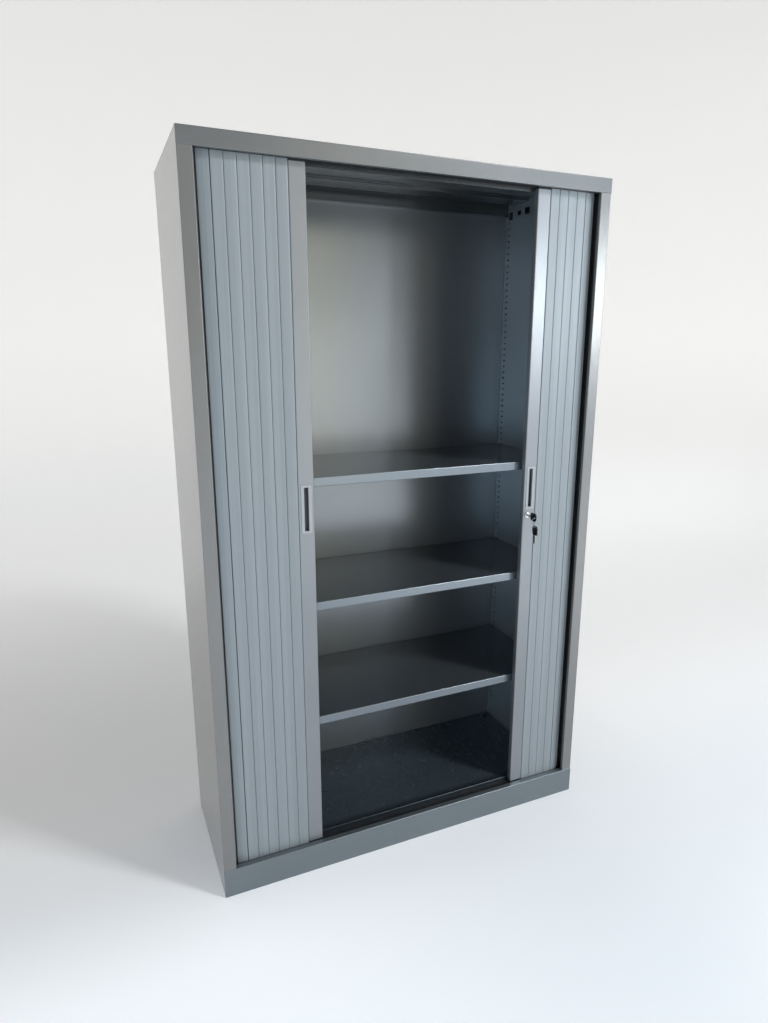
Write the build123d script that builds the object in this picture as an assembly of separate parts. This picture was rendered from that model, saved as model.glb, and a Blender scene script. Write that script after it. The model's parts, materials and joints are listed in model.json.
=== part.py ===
from build123d import *
import math
import os

# Side-opening roll-front cupboard in folded sheet steel. Millimetres.
# +X is to the right seen from the front, +Y to the back, +Z up.
# The origin is on the ground, in the middle of the carcass.

# ---- carcass ----
WIDTH = 1200.0
DEPTH = 450.0
HEIGHT = 1980.0
SHEET = 1.0
BEND = 1.5  # bend radius at the middle of the sheet
SEAT = 0.1  # gap left between sheets that only meet
PANEL_EASE = 0.5  # back panel and base pan, short of what they lie between
OVER = 1.0  # how far a cutter runs past what it cuts
STILE_WIDTH = 35.0
STILE_SETBACK = 1.0  # the stile's face behind the rail and the plinth
STILE_RETURN = 10.0
REAR_FLANGE = 15.0
RAIL_HEIGHT = 40.0
RAIL_HEM = 10.5
RAIL_HEM_RISE = 7.0
PLINTH_HEIGHT = 85.0
PLINTH_LIP = 17.5
PLINTH_HEM = 7.0
PLINTH_FOOT = 25.0
CORNER_RETURN = 15.0  # ends of rail and plinth, folded back inside the side panel
BACK_INSET = 19.0  # the back panel's rear face in front of the cabinet's rear
BACK_FLANGE = 18.0

# ---- base, floor and ceiling ----
PAN_DROP = 10.0  # base pan below the top of the plinth
PAN_FLANGE = 24.0
PAN_REAR_GAP = 1.0
FLOOR_RISE = 20.0  # floor panel above the base pan
FLOOR_EASE = 0.3
HEADER_DEPTH = 15.0
HEADER_FLANGE = 16.0
STIFFENER_REAR = 74.0  # its rear web in front of the cabinet's rear
STIFFENER_WIDTH = 76.0
STIFFENER_DROP = 9.0
STIFFENER_FLANGE = 14.0

# ---- liners and their shelf-clip holes ----
LINER_INSET = 70.0  # inner face inside the cabinet's side
LINER_SETBACK = 50.0
LINER_FLANGE = 14.0
SLOT_LENGTH = 10.0  # punched clip slots, along the depth
SLOT_RADIUS = 3.0
HOLE_PITCH = 19.6
HOLE_TOP_DROP = 59.0  # top hole below the cabinet's top
HOLE_FLOOR_GAP = 60.0  # lowest hole at least this far above the floor panel
HOLE_FRONT_INSET = 25.0  # front column behind the liner's front edge
HOLE_REAR_INSET = 22.0  # rear column in front of the back panel
PORT_DROP = 36.0  # ports near the top of each liner, below the cabinet's top
PORT_SIZES = ((308.0, 27.0, 20.0), (352.0, 20.0, 13.0))  # depth, length, height
NOTCH_LENGTH = 25.0  # notch beside the header
NOTCH_GAP = 1.0
NOTCH_RISE = 10.0  # its top and its bottom, from the middle of the ports
NOTCH_FALL = 14.0

# ---- tracks ----
SLAT_SETBACK = 20.0  # the slats' front face behind the front plane
SLAT_THICK = 7.0
SLAT_PITCH = 30.0
SLAT_GAP = 0.4
SLAT_CHAMFER = 1.2
SLAT_WALL = 1.2
SLAT_CELL_CORNER = 0.7
SLAT_LIFT = 0.3  # under a slat
SLAT_PLAY = 0.5  # over a slat
RUN = 0.5  # running clearance of a slat in its groove, each side
TRACK_WALL = 1.8
TRACK_REAR = 12.3  # track behind the groove, along the front
TRACK_INNER = 11.5  # track beside the groove, in the pocket
TRACK_FLOOR = 2.5
TRACK_HEIGHT = 9.0
TOP_TRACK_HEIGHT = 10.0
TOP_TRACK_LIP = 5.0
TOP_TRACK_LIP_WALL = 1.4
TRACK_ARM = 40.0  # front arm of a corner track, beside its pocket stretch
TRACK_JOINT = 0.2
TRACK_END_GAP = 1.0
GROOVE_INNER_RADIUS = 36.0
GROOVE_OUTER_RADIUS = 20.0
TRACK_INNER_RADIUS = 24.0
POCKET_LINE = 28.0  # the slats' inner faces in the pocket, inside the cabinet's side
TOP_TRACK_GAP = 1.0  # the top track's face above the rail's lower edge
STOP_LENGTH = 14.0
STOP_EASE = 0.3
CARRIER_LIP = 9.0
CARRIER_LIP_GAP = 1.0
CARRIER_EDGE = 3.0
CARRIER_REAR_GAP = 1.2
CARRIER_SIDE_GAP = 0.5

# ---- lead rails and flush pulls ----
LEAD_WIDTH = 43.0
LEAD_DEPTH = 18.0
LEAD_WALL = 1.5
LEAD_BEND = 2.0
LEAD_HEM_INNER = 10.0
LEAD_HEM_OUTER = 9.0
LEAD_GAP = 2.0  # between a glide and the track's face
SEAM = 1.0  # between the two closed lead rails
CORNER_START = 16.0  # where a slat leaves the front, before the pocket line
LEFT_EXTRA_SLATS = 2  # more slats show on the left, which stands less far open
GLIDE_FLANGE = 2.0
GLIDE_PLUG = 20.0
GLIDE_CLEARANCE = 0.2
PULL_Z = 1098.0
PULL_OFFSET = 21.5  # centre of the pull from the lead rail's inner edge
PULL_LENGTH = 130.0
PULL_WIDTH = 29.0
PULL_BEZEL = 1.6
PULL_CORNER = 3.0
PULL_SLOT_LENGTH = 118.0
PULL_SLOT_WIDTH = 12.5
PULL_SLOT_DEPTH = 13.0
PULL_WALL = 1.3
PULL_EASE = 0.7
PULL_FIT = 0.3

# ---- lock and keys ----
LOCK_Z = 1013.5
LOCK_OFFSET = 15.5  # lock axis from the right lead rail's inner edge
LOCK_BARREL_RADIUS = 8.0
LOCK_COLLAR_RADIUS = 9.2
LOCK_COLLAR = 2.5
LOCK_BARREL = 8.5
LOCK_NUT_FLATS = 20.0
LOCK_NUT_THICK = 3.0
PLUG_RADIUS = 5.4
PLUG_CLEARANCE = 0.1
PLUG_PROUD = 0.4
PLUG_BEHIND = 1.2
SHANK = 6.0
HOOK_THICK = 2.5
HOOK_HALF_WIDTH = 5.0
HOOK_BOSS_RADIUS = 6.5
HOOK_SEAT = 0.2
HOOK_REACH = 27.0
HOOK_CLAW = 4.5
HOOK_CLAW_ANGLE = 25.0
HOOK_CLEARANCE = 1.0
HOOK_SCREW_HEAD = 3.4
HOOK_SCREW_HEAD_THICK = 1.6
HOOK_SCREW_RADIUS = 1.5
STRIKE_THICK = 1.5
STRIKE_MARGIN = 16.0
STRIKE_SCREW_RADIUS = 1.5
STRIKE_SCREW_HEAD = 2.7
KEY_INSERTED = 11.0
KEY_EXPOSED = 16.0
KEY_BLADE_THICK = 2.0
KEY_BLADE_WIDTH = 8.0
KEY_TANG = 8.0
KEY_TANG_WIDTH = 6.0
KEY_CUTS = (1.0, 1.8, 0.8, 1.5)
KEY_FIRST_CUT = 3.5
KEY_CUT_PITCH = 3.0
KEY_CUT_FLARE = 1.3
KEYWAY_SPARE = 0.3
KEY_HEAD_LENGTH = 28.0
KEY_HEAD_WIDTH = 25.0
KEY_HEAD_NECK = 14.0
KEY_SHOULDER = 8.4
KEY_CORNER = 4.0
KEY_NECK_CORNER = 2.0
KEY_HEAD_THICK = 2.4
KEY_EYE_LENGTH = 7.0
KEY_EYE_WIDTH = 2.8
KEY_EYE_RIM = 2.5
KEY_FIT = 0.05
RING_RADIUS = 14.2
RING_WIRE = 0.8
RING_EASE = 0.15  # between the ring and the rim that hangs on it

# ---- shelves and clips ----
SHELF_HOLES = (39, 57, 75)  # clip hole of each shelf, counted from the top hole
SHELF_NAMES = ("shelf_top", "shelf_middle", "shelf_bottom")
SHELF_SIDE_GAP = 2.0
SHELF_SETBACK = 48.0
SHELF_BACK_GAP = 2.0
SHELF_LIP = 25.0
SHELF_RETURN = 14.0
SHELF_SIDE = 13.0
CLIP_DROP = 6.0  # clip ledge above its hole
CLIP_LEDGE = 2.0
CLIP_LEG = 12.0
CLIP_LEG_THICK = 1.5
CLIP_WIDTH = 18.0
CLIP_REACH = 13.0
CLIP_TONGUE_EASE = 0.2  # all round, in its slot
CLIP_TONGUE_REACH = 4.0

# ---- levelling feet ----
FOOT_SIDE_INSET = 100.0
FOOT_FRONT_INSET = 75.0
FOOT_REAR_INSET = 48.0
FOOT_PAD_RADIUS = 20.0
FOOT_PAD_HEIGHT = 9.0
FOOT_PAD_ROUND = 3.0
FOOT_SCREW_RADIUS = 5.0
FOOT_SCREW_TOP = 62.0
FOOT_SLOT_LENGTH = 12.0
FOOT_SLOT_WIDTH = 1.6
FOOT_SLOT_DEPTH = 2.0
FOOT_NUT_FLATS = 17.0
FOOT_NUT_THICK = 8.0
BRACKET_Z = 26.0
BRACKET_THICK = 3.0
BRACKET_LENGTH = 60.0
BRACKET_WIDTH = 44.0
BRACKET_FLANGE = 18.0
ACCESS_RADIUS = 8.0

# ---- small fixings ----
SCREW_RADIUS = 2.0
SCREW_HEAD_RADIUS = 3.8
SCREW_HEAD_THICK = 1.2
FLUSH_HEAD_RADIUS = 3.2  # countersunk heads in the grooves
FLUSH_HEAD_PROUD = 0.2
TRACK_SCREW_PROUD = 2.0
LINER_SCREW_PROUD = 3.0
FRONT_TRACK_SCREWS = 5
POCKET_TRACK_SCREWS = 2
SCREW_END = 30.0  # first and last screw from the end of a stretch
LINER_SCREW_END = 80.0
HOLE_EASE = 0.2  # clearance round a screw or rivet, on the radius
LINER_SCREW_ROWS = 5
RIVET_RADIUS = 2.4
RIVET_HEAD_RADIUS = 4.5
RIVET_HEAD_THICK = 1.5
RIVET_TAIL = 1.0
RIVET_COLUMNS = 5
RIVET_END = 60.0

# ---- places worked out from the sizes above ----
FRONT = -DEPTH / 2
BACK = DEPTH / 2
SIDE = WIDTH / 2
SIDE_INNER = SIDE - SHEET
CEILING = HEIGHT - SHEET
PAN_TOP = PLINTH_HEIGHT - PAN_DROP
FLOOR_TOP = PAN_TOP + FLOOR_RISE
RAIL_BOTTOM = HEIGHT - RAIL_HEIGHT
BACK_FACE = BACK - BACK_INSET - SHEET
SLAT_FRONT = FRONT + SLAT_SETBACK
HINGE_Y = SLAT_FRONT + SLAT_THICK
POCKET_X = SIDE - POCKET_LINE
LAST_FLAT_X = POCKET_X - CORNER_START
GROOVE_FRONT = SLAT_FRONT - RUN
GROOVE_BACK = HINGE_Y + RUN
GROOVE_OUTER = POCKET_X + SLAT_THICK + RUN
GROOVE_INNER = POCKET_X - RUN
TRACK_FRONT = GROOVE_FRONT - TRACK_WALL
TRACK_BACK = GROOVE_BACK + TRACK_REAR
TRACK_SIDE = GROOVE_OUTER + TRACK_WALL
TRACK_POCKET = GROOVE_INNER - TRACK_INNER
TRACK_END = BACK_FACE - TRACK_END_GAP
TRACK_STRAIGHT = TRACK_POCKET - TRACK_ARM
BOTTOM_TRACK_FACE = PAN_TOP + TRACK_HEIGHT
TOP_TRACK_FACE = RAIL_BOTTOM + TOP_TRACK_GAP
TOP_TRACK_TOP = TOP_TRACK_FACE + TOP_TRACK_HEIGHT
SLAT_BOTTOM = PAN_TOP + TRACK_FLOOR + SLAT_LIFT
SLAT_TOP = TOP_TRACK_TOP - TRACK_FLOOR - SLAT_PLAY
GLIDE_BOTTOM = BOTTOM_TRACK_FACE + LEAD_GAP
GLIDE_TOP = TOP_TRACK_FACE - LEAD_GAP
LEAD_BOTTOM = GLIDE_BOTTOM + GLIDE_FLANGE
LEAD_TOP = GLIDE_TOP - GLIDE_FLANGE
LEAD_BACK = SLAT_FRONT + LEAD_DEPTH
LINER_FRONT = FRONT + LINER_SETBACK
LINER_FACE = SIDE - LINER_INSET
LINER_OUTER = LINER_FACE + SHEET
PORT_Z = HEIGHT - PORT_DROP
HOLE_TOP_Z = HEIGHT - HOLE_TOP_DROP
HOLE_COUNT = int((HOLE_TOP_Z - FLOOR_TOP - HOLE_FLOOR_GAP) // HOLE_PITCH) + 1
HOLE_FRONT_Y = LINER_FRONT + HOLE_FRONT_INSET
HOLE_REAR_Y = BACK_FACE - HOLE_REAR_INSET
STOP_Y = TRACK_END - STOP_LENGTH
FOOT_X = SIDE - FOOT_SIDE_INSET
FEET = [(sx * FOOT_X, y) for sx in (-1, 1) for y in (FRONT + FOOT_FRONT_INSET, BACK - FOOT_REAR_INSET)]

# How many slats a door needs, and how many of them park behind the stile when it is open.
CORNER_RISE = math.sqrt(SLAT_PITCH**2 - CORNER_START**2)
SLATS = int((LAST_FLAT_X - SEAM / 2 - LEAD_WIDTH) // SLAT_PITCH) + 1
POCKET_SLATS = int((STOP_Y - HINGE_Y - CORNER_RISE) // SLAT_PITCH)
RIGHT_SLATS = SLATS - 1 - POCKET_SLATS
LEFT_SLATS = RIGHT_SLATS + LEFT_EXTRA_SLATS
RIGHT_OPEN = LAST_FLAT_X - RIGHT_SLATS * SLAT_PITCH - LEAD_WIDTH
LEFT_OPEN = LAST_FLAT_X - LEFT_SLATS * SLAT_PITCH - LEAD_WIDTH

LOCK_X = RIGHT_OPEN + LOCK_OFFSET
COLLAR_FACE = SLAT_FRONT - LOCK_COLLAR
PLUG_FACE = COLLAR_FACE - PLUG_PROUD
BARREL_END = SLAT_FRONT + LOCK_BARREL
PLUG_END = BARREL_END + PLUG_BEHIND
HOOK_FRONT = PLUG_END + HOOK_SEAT
HOOK_BACK = HOOK_FRONT + HOOK_THICK
HOOK_SLOT_LOW = LOCK_Z - HOOK_REACH + 2 * HOOK_CLEARANCE
HOOK_SLOT_HIGH = LOCK_Z + HOOK_HALF_WIDTH + HOOK_CLEARANCE
STRIKE_Y0 = SLAT_FRONT + LEAD_WALL + LEAD_BEND
STRIKE_Y1 = LEAD_BACK - LEAD_WALL - LEAD_BEND
KEY_HEAD_Y = PLUG_FACE - KEY_EXPOSED
EYE_MIDDLE = KEY_HEAD_LENGTH - KEY_EYE_RIM - KEY_EYE_WIDTH / 2
RING_Y = KEY_HEAD_Y - EYE_MIDDLE
RING_BOTTOM_Z = LOCK_Z - 2 * RING_RADIUS
SPARE_HEAD_TOP = RING_BOTTOM_Z + RING_WIRE + RING_EASE + KEY_EYE_RIM


# ---- building helpers ----
def block(x0, x1, y0, y1, z0, z1):
    """A box between two corners."""
    return Pos((x0 + x1) / 2, (y0 + y1) / 2, (z0 + z1) / 2) * Box(x1 - x0, y1 - y0, z1 - z0)


def round_bar(x, y, z0, z1, radius):
    """An upright cylinder."""
    return Pos(x, y, (z0 + z1) / 2) * Cylinder(radius, z1 - z0)


def bar_along_y(x, z, y0, y1, radius):
    """A cylinder from front to back."""
    return Pos(x, (y0 + y1) / 2, z) * Rot(90, 0, 0) * Cylinder(radius, y1 - y0)


def bar_along_x(y, z, x0, x1, radius):
    """A cylinder from side to side."""
    return Pos((x0 + x1) / 2, y, z) * Rot(0, 90, 0) * Cylinder(radius, x1 - x0)


def folded_upright(points, z0, z1, sheet=SHEET, bend=BEND):
    """Sheet folded along upright lines; the points are the middle of the sheet in X, Y."""
    section = trace(FilletPolyline(*points, radius=bend), line_width=sheet)
    return Pos(0, 0, z0) * extrude(section, amount=z1 - z0)


def folded_across(points, x0, x1, sheet=SHEET, bend=BEND):
    """Sheet folded along lines across the cabinet; the points are the middle of the sheet in Y, Z."""
    section = trace(FilletPolyline(*points, radius=bend), line_width=sheet)
    return extrude(Plane.YZ.offset(x0) * section, amount=x1 - x0)


def to_left(shape):
    """The left-hand twin of a right-hand piece."""
    return mirror(shape, about=Plane.YZ)


def group(shapes):
    """Separate solids kept together in one node."""
    return Compound([solid for shape in shapes for solid in shape.solids()])


def spread(low, high, count):
    """A number of even places from low to high."""
    return [low + (high - low) * i / (count - 1) for i in range(count)]


# ---- carcass ----
def side_panel():
    """Right side panel: front stile with its return, side, and rear flange, in one sheet."""
    middle = SHEET / 2
    stile_y = FRONT + STILE_SETBACK
    points = [
        (SIDE - STILE_WIDTH + middle, stile_y + STILE_RETURN),
        (SIDE - STILE_WIDTH + middle, stile_y + middle),
        (SIDE - middle, stile_y + middle),
        (SIDE - middle, BACK - middle),
        (SIDE - REAR_FLANGE, BACK - middle),
    ]
    panel = folded_upright(points, 0, CEILING)
    fold_y = stile_y + BEND + middle
    inside = SIDE - STILE_WIDTH - OVER
    past = SIDE + OVER
    return_y = stile_y + STILE_RETURN + OVER
    for low, high in ((-OVER, PLINTH_HEIGHT), (RAIL_BOTTOM, HEIGHT)):
        panel -= block(inside, past, FRONT - OVER, fold_y, low, high)
        panel -= block(inside, SIDE_INNER - middle, FRONT - OVER, return_y, low, high)
    panel -= block(inside, past, BACK - SHEET - BEND, BACK + OVER, RAIL_BOTTOM, HEIGHT)
    return panel


def end_trim(y0, z0, z1):
    """The two ends cut off pieces that lie between the side sheets."""
    cut = block(SIDE_INNER - SEAT, SIDE + OVER, y0, BACK - SHEET - SEAT, z0, z1)
    return cut + to_left(cut)


def top_panel():
    """Top sheet with the front rail, its hem, and the rear skirt."""
    middle = SHEET / 2
    hem_y = FRONT + RAIL_HEM
    points = [
        (hem_y, RAIL_BOTTOM + RAIL_HEM_RISE),
        (hem_y, RAIL_BOTTOM + middle),
        (FRONT + middle, RAIL_BOTTOM + middle),
        (FRONT + middle, HEIGHT - middle),
        (BACK - middle, HEIGHT - middle),
        (BACK - middle, RAIL_BOTTOM),
    ]
    panel = folded_across(points, -SIDE, SIDE)
    panel -= end_trim(FRONT + SHEET + SEAT, RAIL_BOTTOM - OVER, CEILING)
    corner = block(
        SIDE_INNER - SEAT - SHEET, SIDE_INNER - SEAT,
        FRONT + middle, FRONT + CORNER_RETURN, RAIL_BOTTOM + middle, HEIGHT - middle,
    )
    return panel + corner + to_left(corner)


def header():
    """Channel across the cabinet under the top, riveted to the back panel."""
    middle = SHEET / 2
    face_y = BACK_FACE - HEADER_DEPTH + middle
    back_y = BACK_FACE - SEAT - middle
    points = [
        (back_y, CEILING - middle),
        (face_y, CEILING - middle),
        (face_y, RAIL_BOTTOM + middle),
        (back_y, RAIL_BOTTOM + middle),
        (back_y, RAIL_BOTTOM + HEADER_FLANGE),
    ]
    half = LINER_FACE - SEAT
    return folded_across(points, -half, half)


def top_stiffener():
    """Shallow hat section welded under the top sheet."""
    middle = SHEET / 2
    y1 = BACK - STIFFENER_REAR
    y0 = y1 - STIFFENER_WIDTH
    high = CEILING - middle
    low = CEILING - STIFFENER_DROP + middle
    points = [
        (y0 - STIFFENER_FLANGE, high),
        (y0, high),
        (y0, low),
        (y1, low),
        (y1, high),
        (y1 + STIFFENER_FLANGE, high),
    ]
    half = LINER_FACE - SEAT
    return folded_across(points, -half, half)


def back_panel():
    """Back sheet, set in, with flanges turned back to the cabinet's rear."""
    half = SIDE_INNER - PANEL_EASE
    low = PAN_TOP + SEAT
    high = CEILING - SEAT
    sheet_back = BACK_FACE + SHEET
    outer = block(-half, half, BACK_FACE, BACK_FACE + BACK_FLANGE, low, high)
    inner = block(-half + SHEET, half - SHEET, sheet_back, BACK, low + SHEET, high - SHEET)
    return outer - inner


def plinth_frame():
    """Plinth: front with its lip, and plain sides and rear on one foot flange."""
    middle = SHEET / 2
    lip_y = FRONT + PLINTH_LIP - middle
    points = [
        (lip_y, PLINTH_HEIGHT - PLINTH_HEM),
        (lip_y, PLINTH_HEIGHT - middle),
        (FRONT + middle, PLINTH_HEIGHT - middle),
        (FRONT + middle, middle),
        (FRONT + PLINTH_FOOT, middle),
    ]
    front = folded_across(points, -SIDE, SIDE)
    front -= end_trim(FRONT + SHEET + SEAT, -OVER, PLINTH_HEIGHT + OVER)
    wall_x = SIDE_INNER - SEAT
    wall_y = BACK - SHEET - SEAT
    wall_top = PAN_TOP - SHEET
    outer = block(-wall_x, wall_x, FRONT + middle, wall_y, 0, wall_top)
    outer = fillet(outer.edges().filter_by(Axis.Z), BEND)
    well = block(
        -wall_x + SHEET, wall_x - SHEET, FRONT - OVER, wall_y - SHEET, SHEET, wall_top + OVER
    )
    window = block(
        -wall_x + PLINTH_FOOT, wall_x - PLINTH_FOOT, FRONT + PLINTH_FOOT, wall_y - PLINTH_FOOT,
        -OVER, SHEET + OVER,
    )
    return front + (outer - well - window)


def base_pan():
    """Bottom sheet that carries the tracks, liners and floor, on the plinth frame."""
    half = SIDE_INNER - PANEL_EASE
    y0 = TRACK_FRONT + SEAT
    pan = block(-half, half, y0, BACK - SHEET - PAN_REAR_GAP, PAN_TOP - SHEET, PAN_TOP)
    inset = half - CORNER_RETURN
    pan += block(-inset, inset, y0, y0 + SHEET, PAN_TOP - PAN_FLANGE, PAN_TOP)
    low = PAN_TOP - SHEET - OVER
    for x, y in FEET:
        pan -= round_bar(x, y, low, PAN_TOP + OVER, ACCESS_RADIUS)
    return pan - screw_holes(track_screw_places(), PAN_TOP - SHEET, PAN_TOP)


def floor_panel():
    """Raised floor of the cupboard, folded down all round on to the base pan."""
    half = LINER_FACE - FLOOR_EASE
    y0 = TRACK_BACK + FLOOR_EASE
    y1 = BACK_FACE - PANEL_EASE
    panel = block(-half, half, y0, y1, PAN_TOP, FLOOR_TOP)
    top_edges = panel.edges().group_by(Axis.Z)[-1]
    panel = fillet(top_edges, BEND + SHEET / 2)
    panel -= block(
        -half + SHEET, half - SHEET, y0 + SHEET, y1 - SHEET, PAN_TOP - OVER, FLOOR_TOP - SHEET
    )
    for x, y in FEET:
        panel -= round_bar(x, y, PAN_TOP, FLOOR_TOP + OVER, ACCESS_RADIUS)
    return panel


def rounded_tongue(y, z, x0, x1, length, radius):
    """Bar across the cabinet with a long section along the depth and round ends."""
    half = length / 2 - radius
    tongue = block(x0, x1, y - half, y + half, z - radius, z + radius)
    return tongue + bar_along_x(y - half, z, x0, x1, radius) + bar_along_x(y + half, z, x0, x1, radius)


def liner():
    """Right liner between the cupboard and the pocket, punched for shelf clips."""
    middle = SHEET / 2
    web_x = LINER_FACE + middle
    points = [
        (LINER_OUTER + LINER_FLANGE, LINER_FRONT + middle),
        (web_x, LINER_FRONT + middle),
        (web_x, BACK_FACE - SEAT - middle),
        (LINER_OUTER + LINER_FLANGE, BACK_FACE - SEAT - middle),
    ]
    panel = folded_upright(points, PAN_TOP, CEILING)
    near = LINER_FACE - OVER
    far = LINER_OUTER + OVER
    punches = [
        rounded_tongue(y, HOLE_TOP_Z - i * HOLE_PITCH, near, far, SLOT_LENGTH, SLOT_RADIUS)
        for y in (HOLE_FRONT_Y, HOLE_REAR_Y)
        for i in range(HOLE_COUNT)
    ]
    for depth, length, height in PORT_SIZES:
        y = FRONT + depth
        punches.append(
            block(near, far, y - length / 2, y + length / 2, PORT_Z - height / 2, PORT_Z + height / 2)
        )
    notch_y = BACK_FACE - HEADER_DEPTH - NOTCH_GAP
    punches.append(
        block(near, far, notch_y - NOTCH_LENGTH, notch_y, PORT_Z - NOTCH_FALL, PORT_Z + NOTCH_RISE)
    )
    return panel - Compound([solid for punch in punches for solid in punch.solids()])


# ---- tracks ----
def corner_plan(front, back, side, pocket, outer_radius, inner_radius, end, start):
    """Plan of a band that runs along the front, round the corner and into the pocket."""
    points = [(start, front), (side, front), (side, end), (pocket, end), (pocket, back), (start, back)]
    plan = make_face(Polyline(*points, close=True))
    near = plan.vertices().sort_by_distance((side, front, 0))[0]
    plan = fillet(near, outer_radius)
    near = plan.vertices().sort_by_distance((pocket, back, 0))[0]
    return fillet(near, inner_radius)


def track_solid(z0, z1, groove0, groove1, end=TRACK_END):
    """Corner and pocket stretch of a track, with its groove."""
    start = TRACK_STRAIGHT + TRACK_JOINT
    body = corner_plan(
        TRACK_FRONT, TRACK_BACK, TRACK_SIDE, TRACK_POCKET,
        GROOVE_OUTER_RADIUS + TRACK_WALL, TRACK_INNER_RADIUS, end, start,
    )
    groove = corner_plan(
        GROOVE_FRONT, GROOVE_BACK, GROOVE_OUTER, GROOVE_INNER,
        GROOVE_OUTER_RADIUS, GROOVE_INNER_RADIUS, end + OVER, start - OVER,
    )
    track = Pos(0, 0, z0) * extrude(body, amount=z1 - z0)
    return track - Pos(0, 0, groove0) * extrude(groove, amount=groove1 - groove0)


def screw_places():
    """Track screws in the grooves: along the front, and up the pocket."""
    groove_y = (GROOVE_FRONT + GROOVE_BACK) / 2
    groove_x = (GROOVE_OUTER + GROOVE_INNER) / 2
    half = TRACK_STRAIGHT - SCREW_END
    front = [(x, groove_y) for x in spread(-half, half, FRONT_TRACK_SCREWS)]
    low = GROOVE_BACK + GROOVE_INNER_RADIUS + SCREW_END
    pocket = [(groove_x, y) for y in spread(low, STOP_Y - SCREW_END, POCKET_TRACK_SCREWS)]
    return front, pocket


def track_screw_places():
    """Track screws of one level, all round."""
    front, pocket = screw_places()
    return front + pocket + [(-x, y) for x, y in pocket]


def screw_holes(places, z0, z1):
    """Cutters for upright screws through a sheet or wall between two heights."""
    return [round_bar(x, y, z0 - OVER, z1 + OVER, SCREW_RADIUS + HOLE_EASE) for x, y in places]


def bottom_tracks():
    """Front, left and right bottom tracks."""
    front_screws, pocket_screws = screw_places()
    floor_z = PAN_TOP + TRACK_FLOOR
    front = block(-TRACK_STRAIGHT, TRACK_STRAIGHT, TRACK_FRONT, TRACK_BACK, PAN_TOP, BOTTOM_TRACK_FACE)
    front -= block(-SIDE, SIDE, GROOVE_FRONT, GROOVE_BACK, floor_z, BOTTOM_TRACK_FACE + OVER)
    front -= screw_holes(front_screws, PAN_TOP, floor_z)
    right = track_solid(PAN_TOP, BOTTOM_TRACK_FACE, floor_z, BOTTOM_TRACK_FACE + OVER)
    right -= screw_holes(pocket_screws, PAN_TOP, floor_z)
    return front, to_left(right), right


def top_tracks():
    """Front, left and right top tracks."""
    front_screws, pocket_screws = screw_places()
    roof_z = TOP_TRACK_TOP - TRACK_FLOOR
    front = block(-TRACK_STRAIGHT, TRACK_STRAIGHT, TRACK_FRONT, TRACK_BACK, TOP_TRACK_FACE, TOP_TRACK_TOP)
    front += block(
        -TRACK_STRAIGHT, TRACK_STRAIGHT, TRACK_BACK - TOP_TRACK_LIP_WALL, TRACK_BACK,
        TOP_TRACK_FACE - TOP_TRACK_LIP, TOP_TRACK_FACE,
    )
    front -= block(-SIDE, SIDE, GROOVE_FRONT, GROOVE_BACK, TOP_TRACK_FACE - OVER, roof_z)
    front -= screw_holes(front_screws, roof_z, TOP_TRACK_TOP)
    right = track_solid(TOP_TRACK_FACE, TOP_TRACK_TOP, TOP_TRACK_FACE - OVER, roof_z)
    right -= screw_holes(pocket_screws, roof_z, TOP_TRACK_TOP)
    return front, to_left(right), right


def top_track_carrier():
    """Steel shelf that hangs from the top and holds the top tracks."""
    z0 = TOP_TRACK_TOP
    z1 = TOP_TRACK_TOP + SHEET
    outer = TRACK_SIDE + CARRIER_EDGE
    web_y = TRACK_BACK + CARRIER_REAR_GAP
    web_x = TRACK_POCKET - SHEET - CARRIER_SIDE_GAP
    plate = block(-outer, outer, TRACK_FRONT, web_y + SHEET, z0, z1)
    side = block(web_x, outer, TRACK_FRONT, TRACK_END, z0, z1)
    side += block(web_x, web_x + SHEET, web_y, TRACK_END, z0, CEILING)
    carrier = plate + side + to_left(side)
    carrier += block(-web_x - SHEET, web_x + SHEET, web_y, web_y + SHEET, z0, CEILING)
    lip = LINER_FACE - CARRIER_LIP_GAP
    carrier += block(-lip, lip, web_y, web_y + SHEET, TOP_TRACK_FACE - CARRIER_LIP, z1)
    return carrier - screw_holes(track_screw_places(), z0, z1)


def track_screws(face, direction):
    """Countersunk screws in the grooves; direction is +1 where they drive upwards."""
    reach = TRACK_FLOOR + SHEET + TRACK_SCREW_PROUD
    screws = []
    for x, y in track_screw_places():
        ends = sorted((face, face + direction * reach))
        shank = round_bar(x, y, ends[0], ends[1], SCREW_RADIUS)
        ends = sorted((face, face - direction * FLUSH_HEAD_PROUD))
        screws.append(shank + round_bar(x, y, ends[0], ends[1], FLUSH_HEAD_RADIUS))
    return group(screws)


def pocket_stops():
    """Rubber stops at the ends of the pocket grooves."""
    x0 = GROOVE_INNER + STOP_EASE
    x1 = GROOVE_OUTER - STOP_EASE
    low = block(x0, x1, STOP_Y, TRACK_END, PAN_TOP + TRACK_FLOOR, BOTTOM_TRACK_FACE)
    high = block(x0, x1, STOP_Y, TRACK_END, TOP_TRACK_FACE, TOP_TRACK_TOP - TRACK_FLOOR)
    return group([low, high, to_left(low), to_left(high)])


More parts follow.
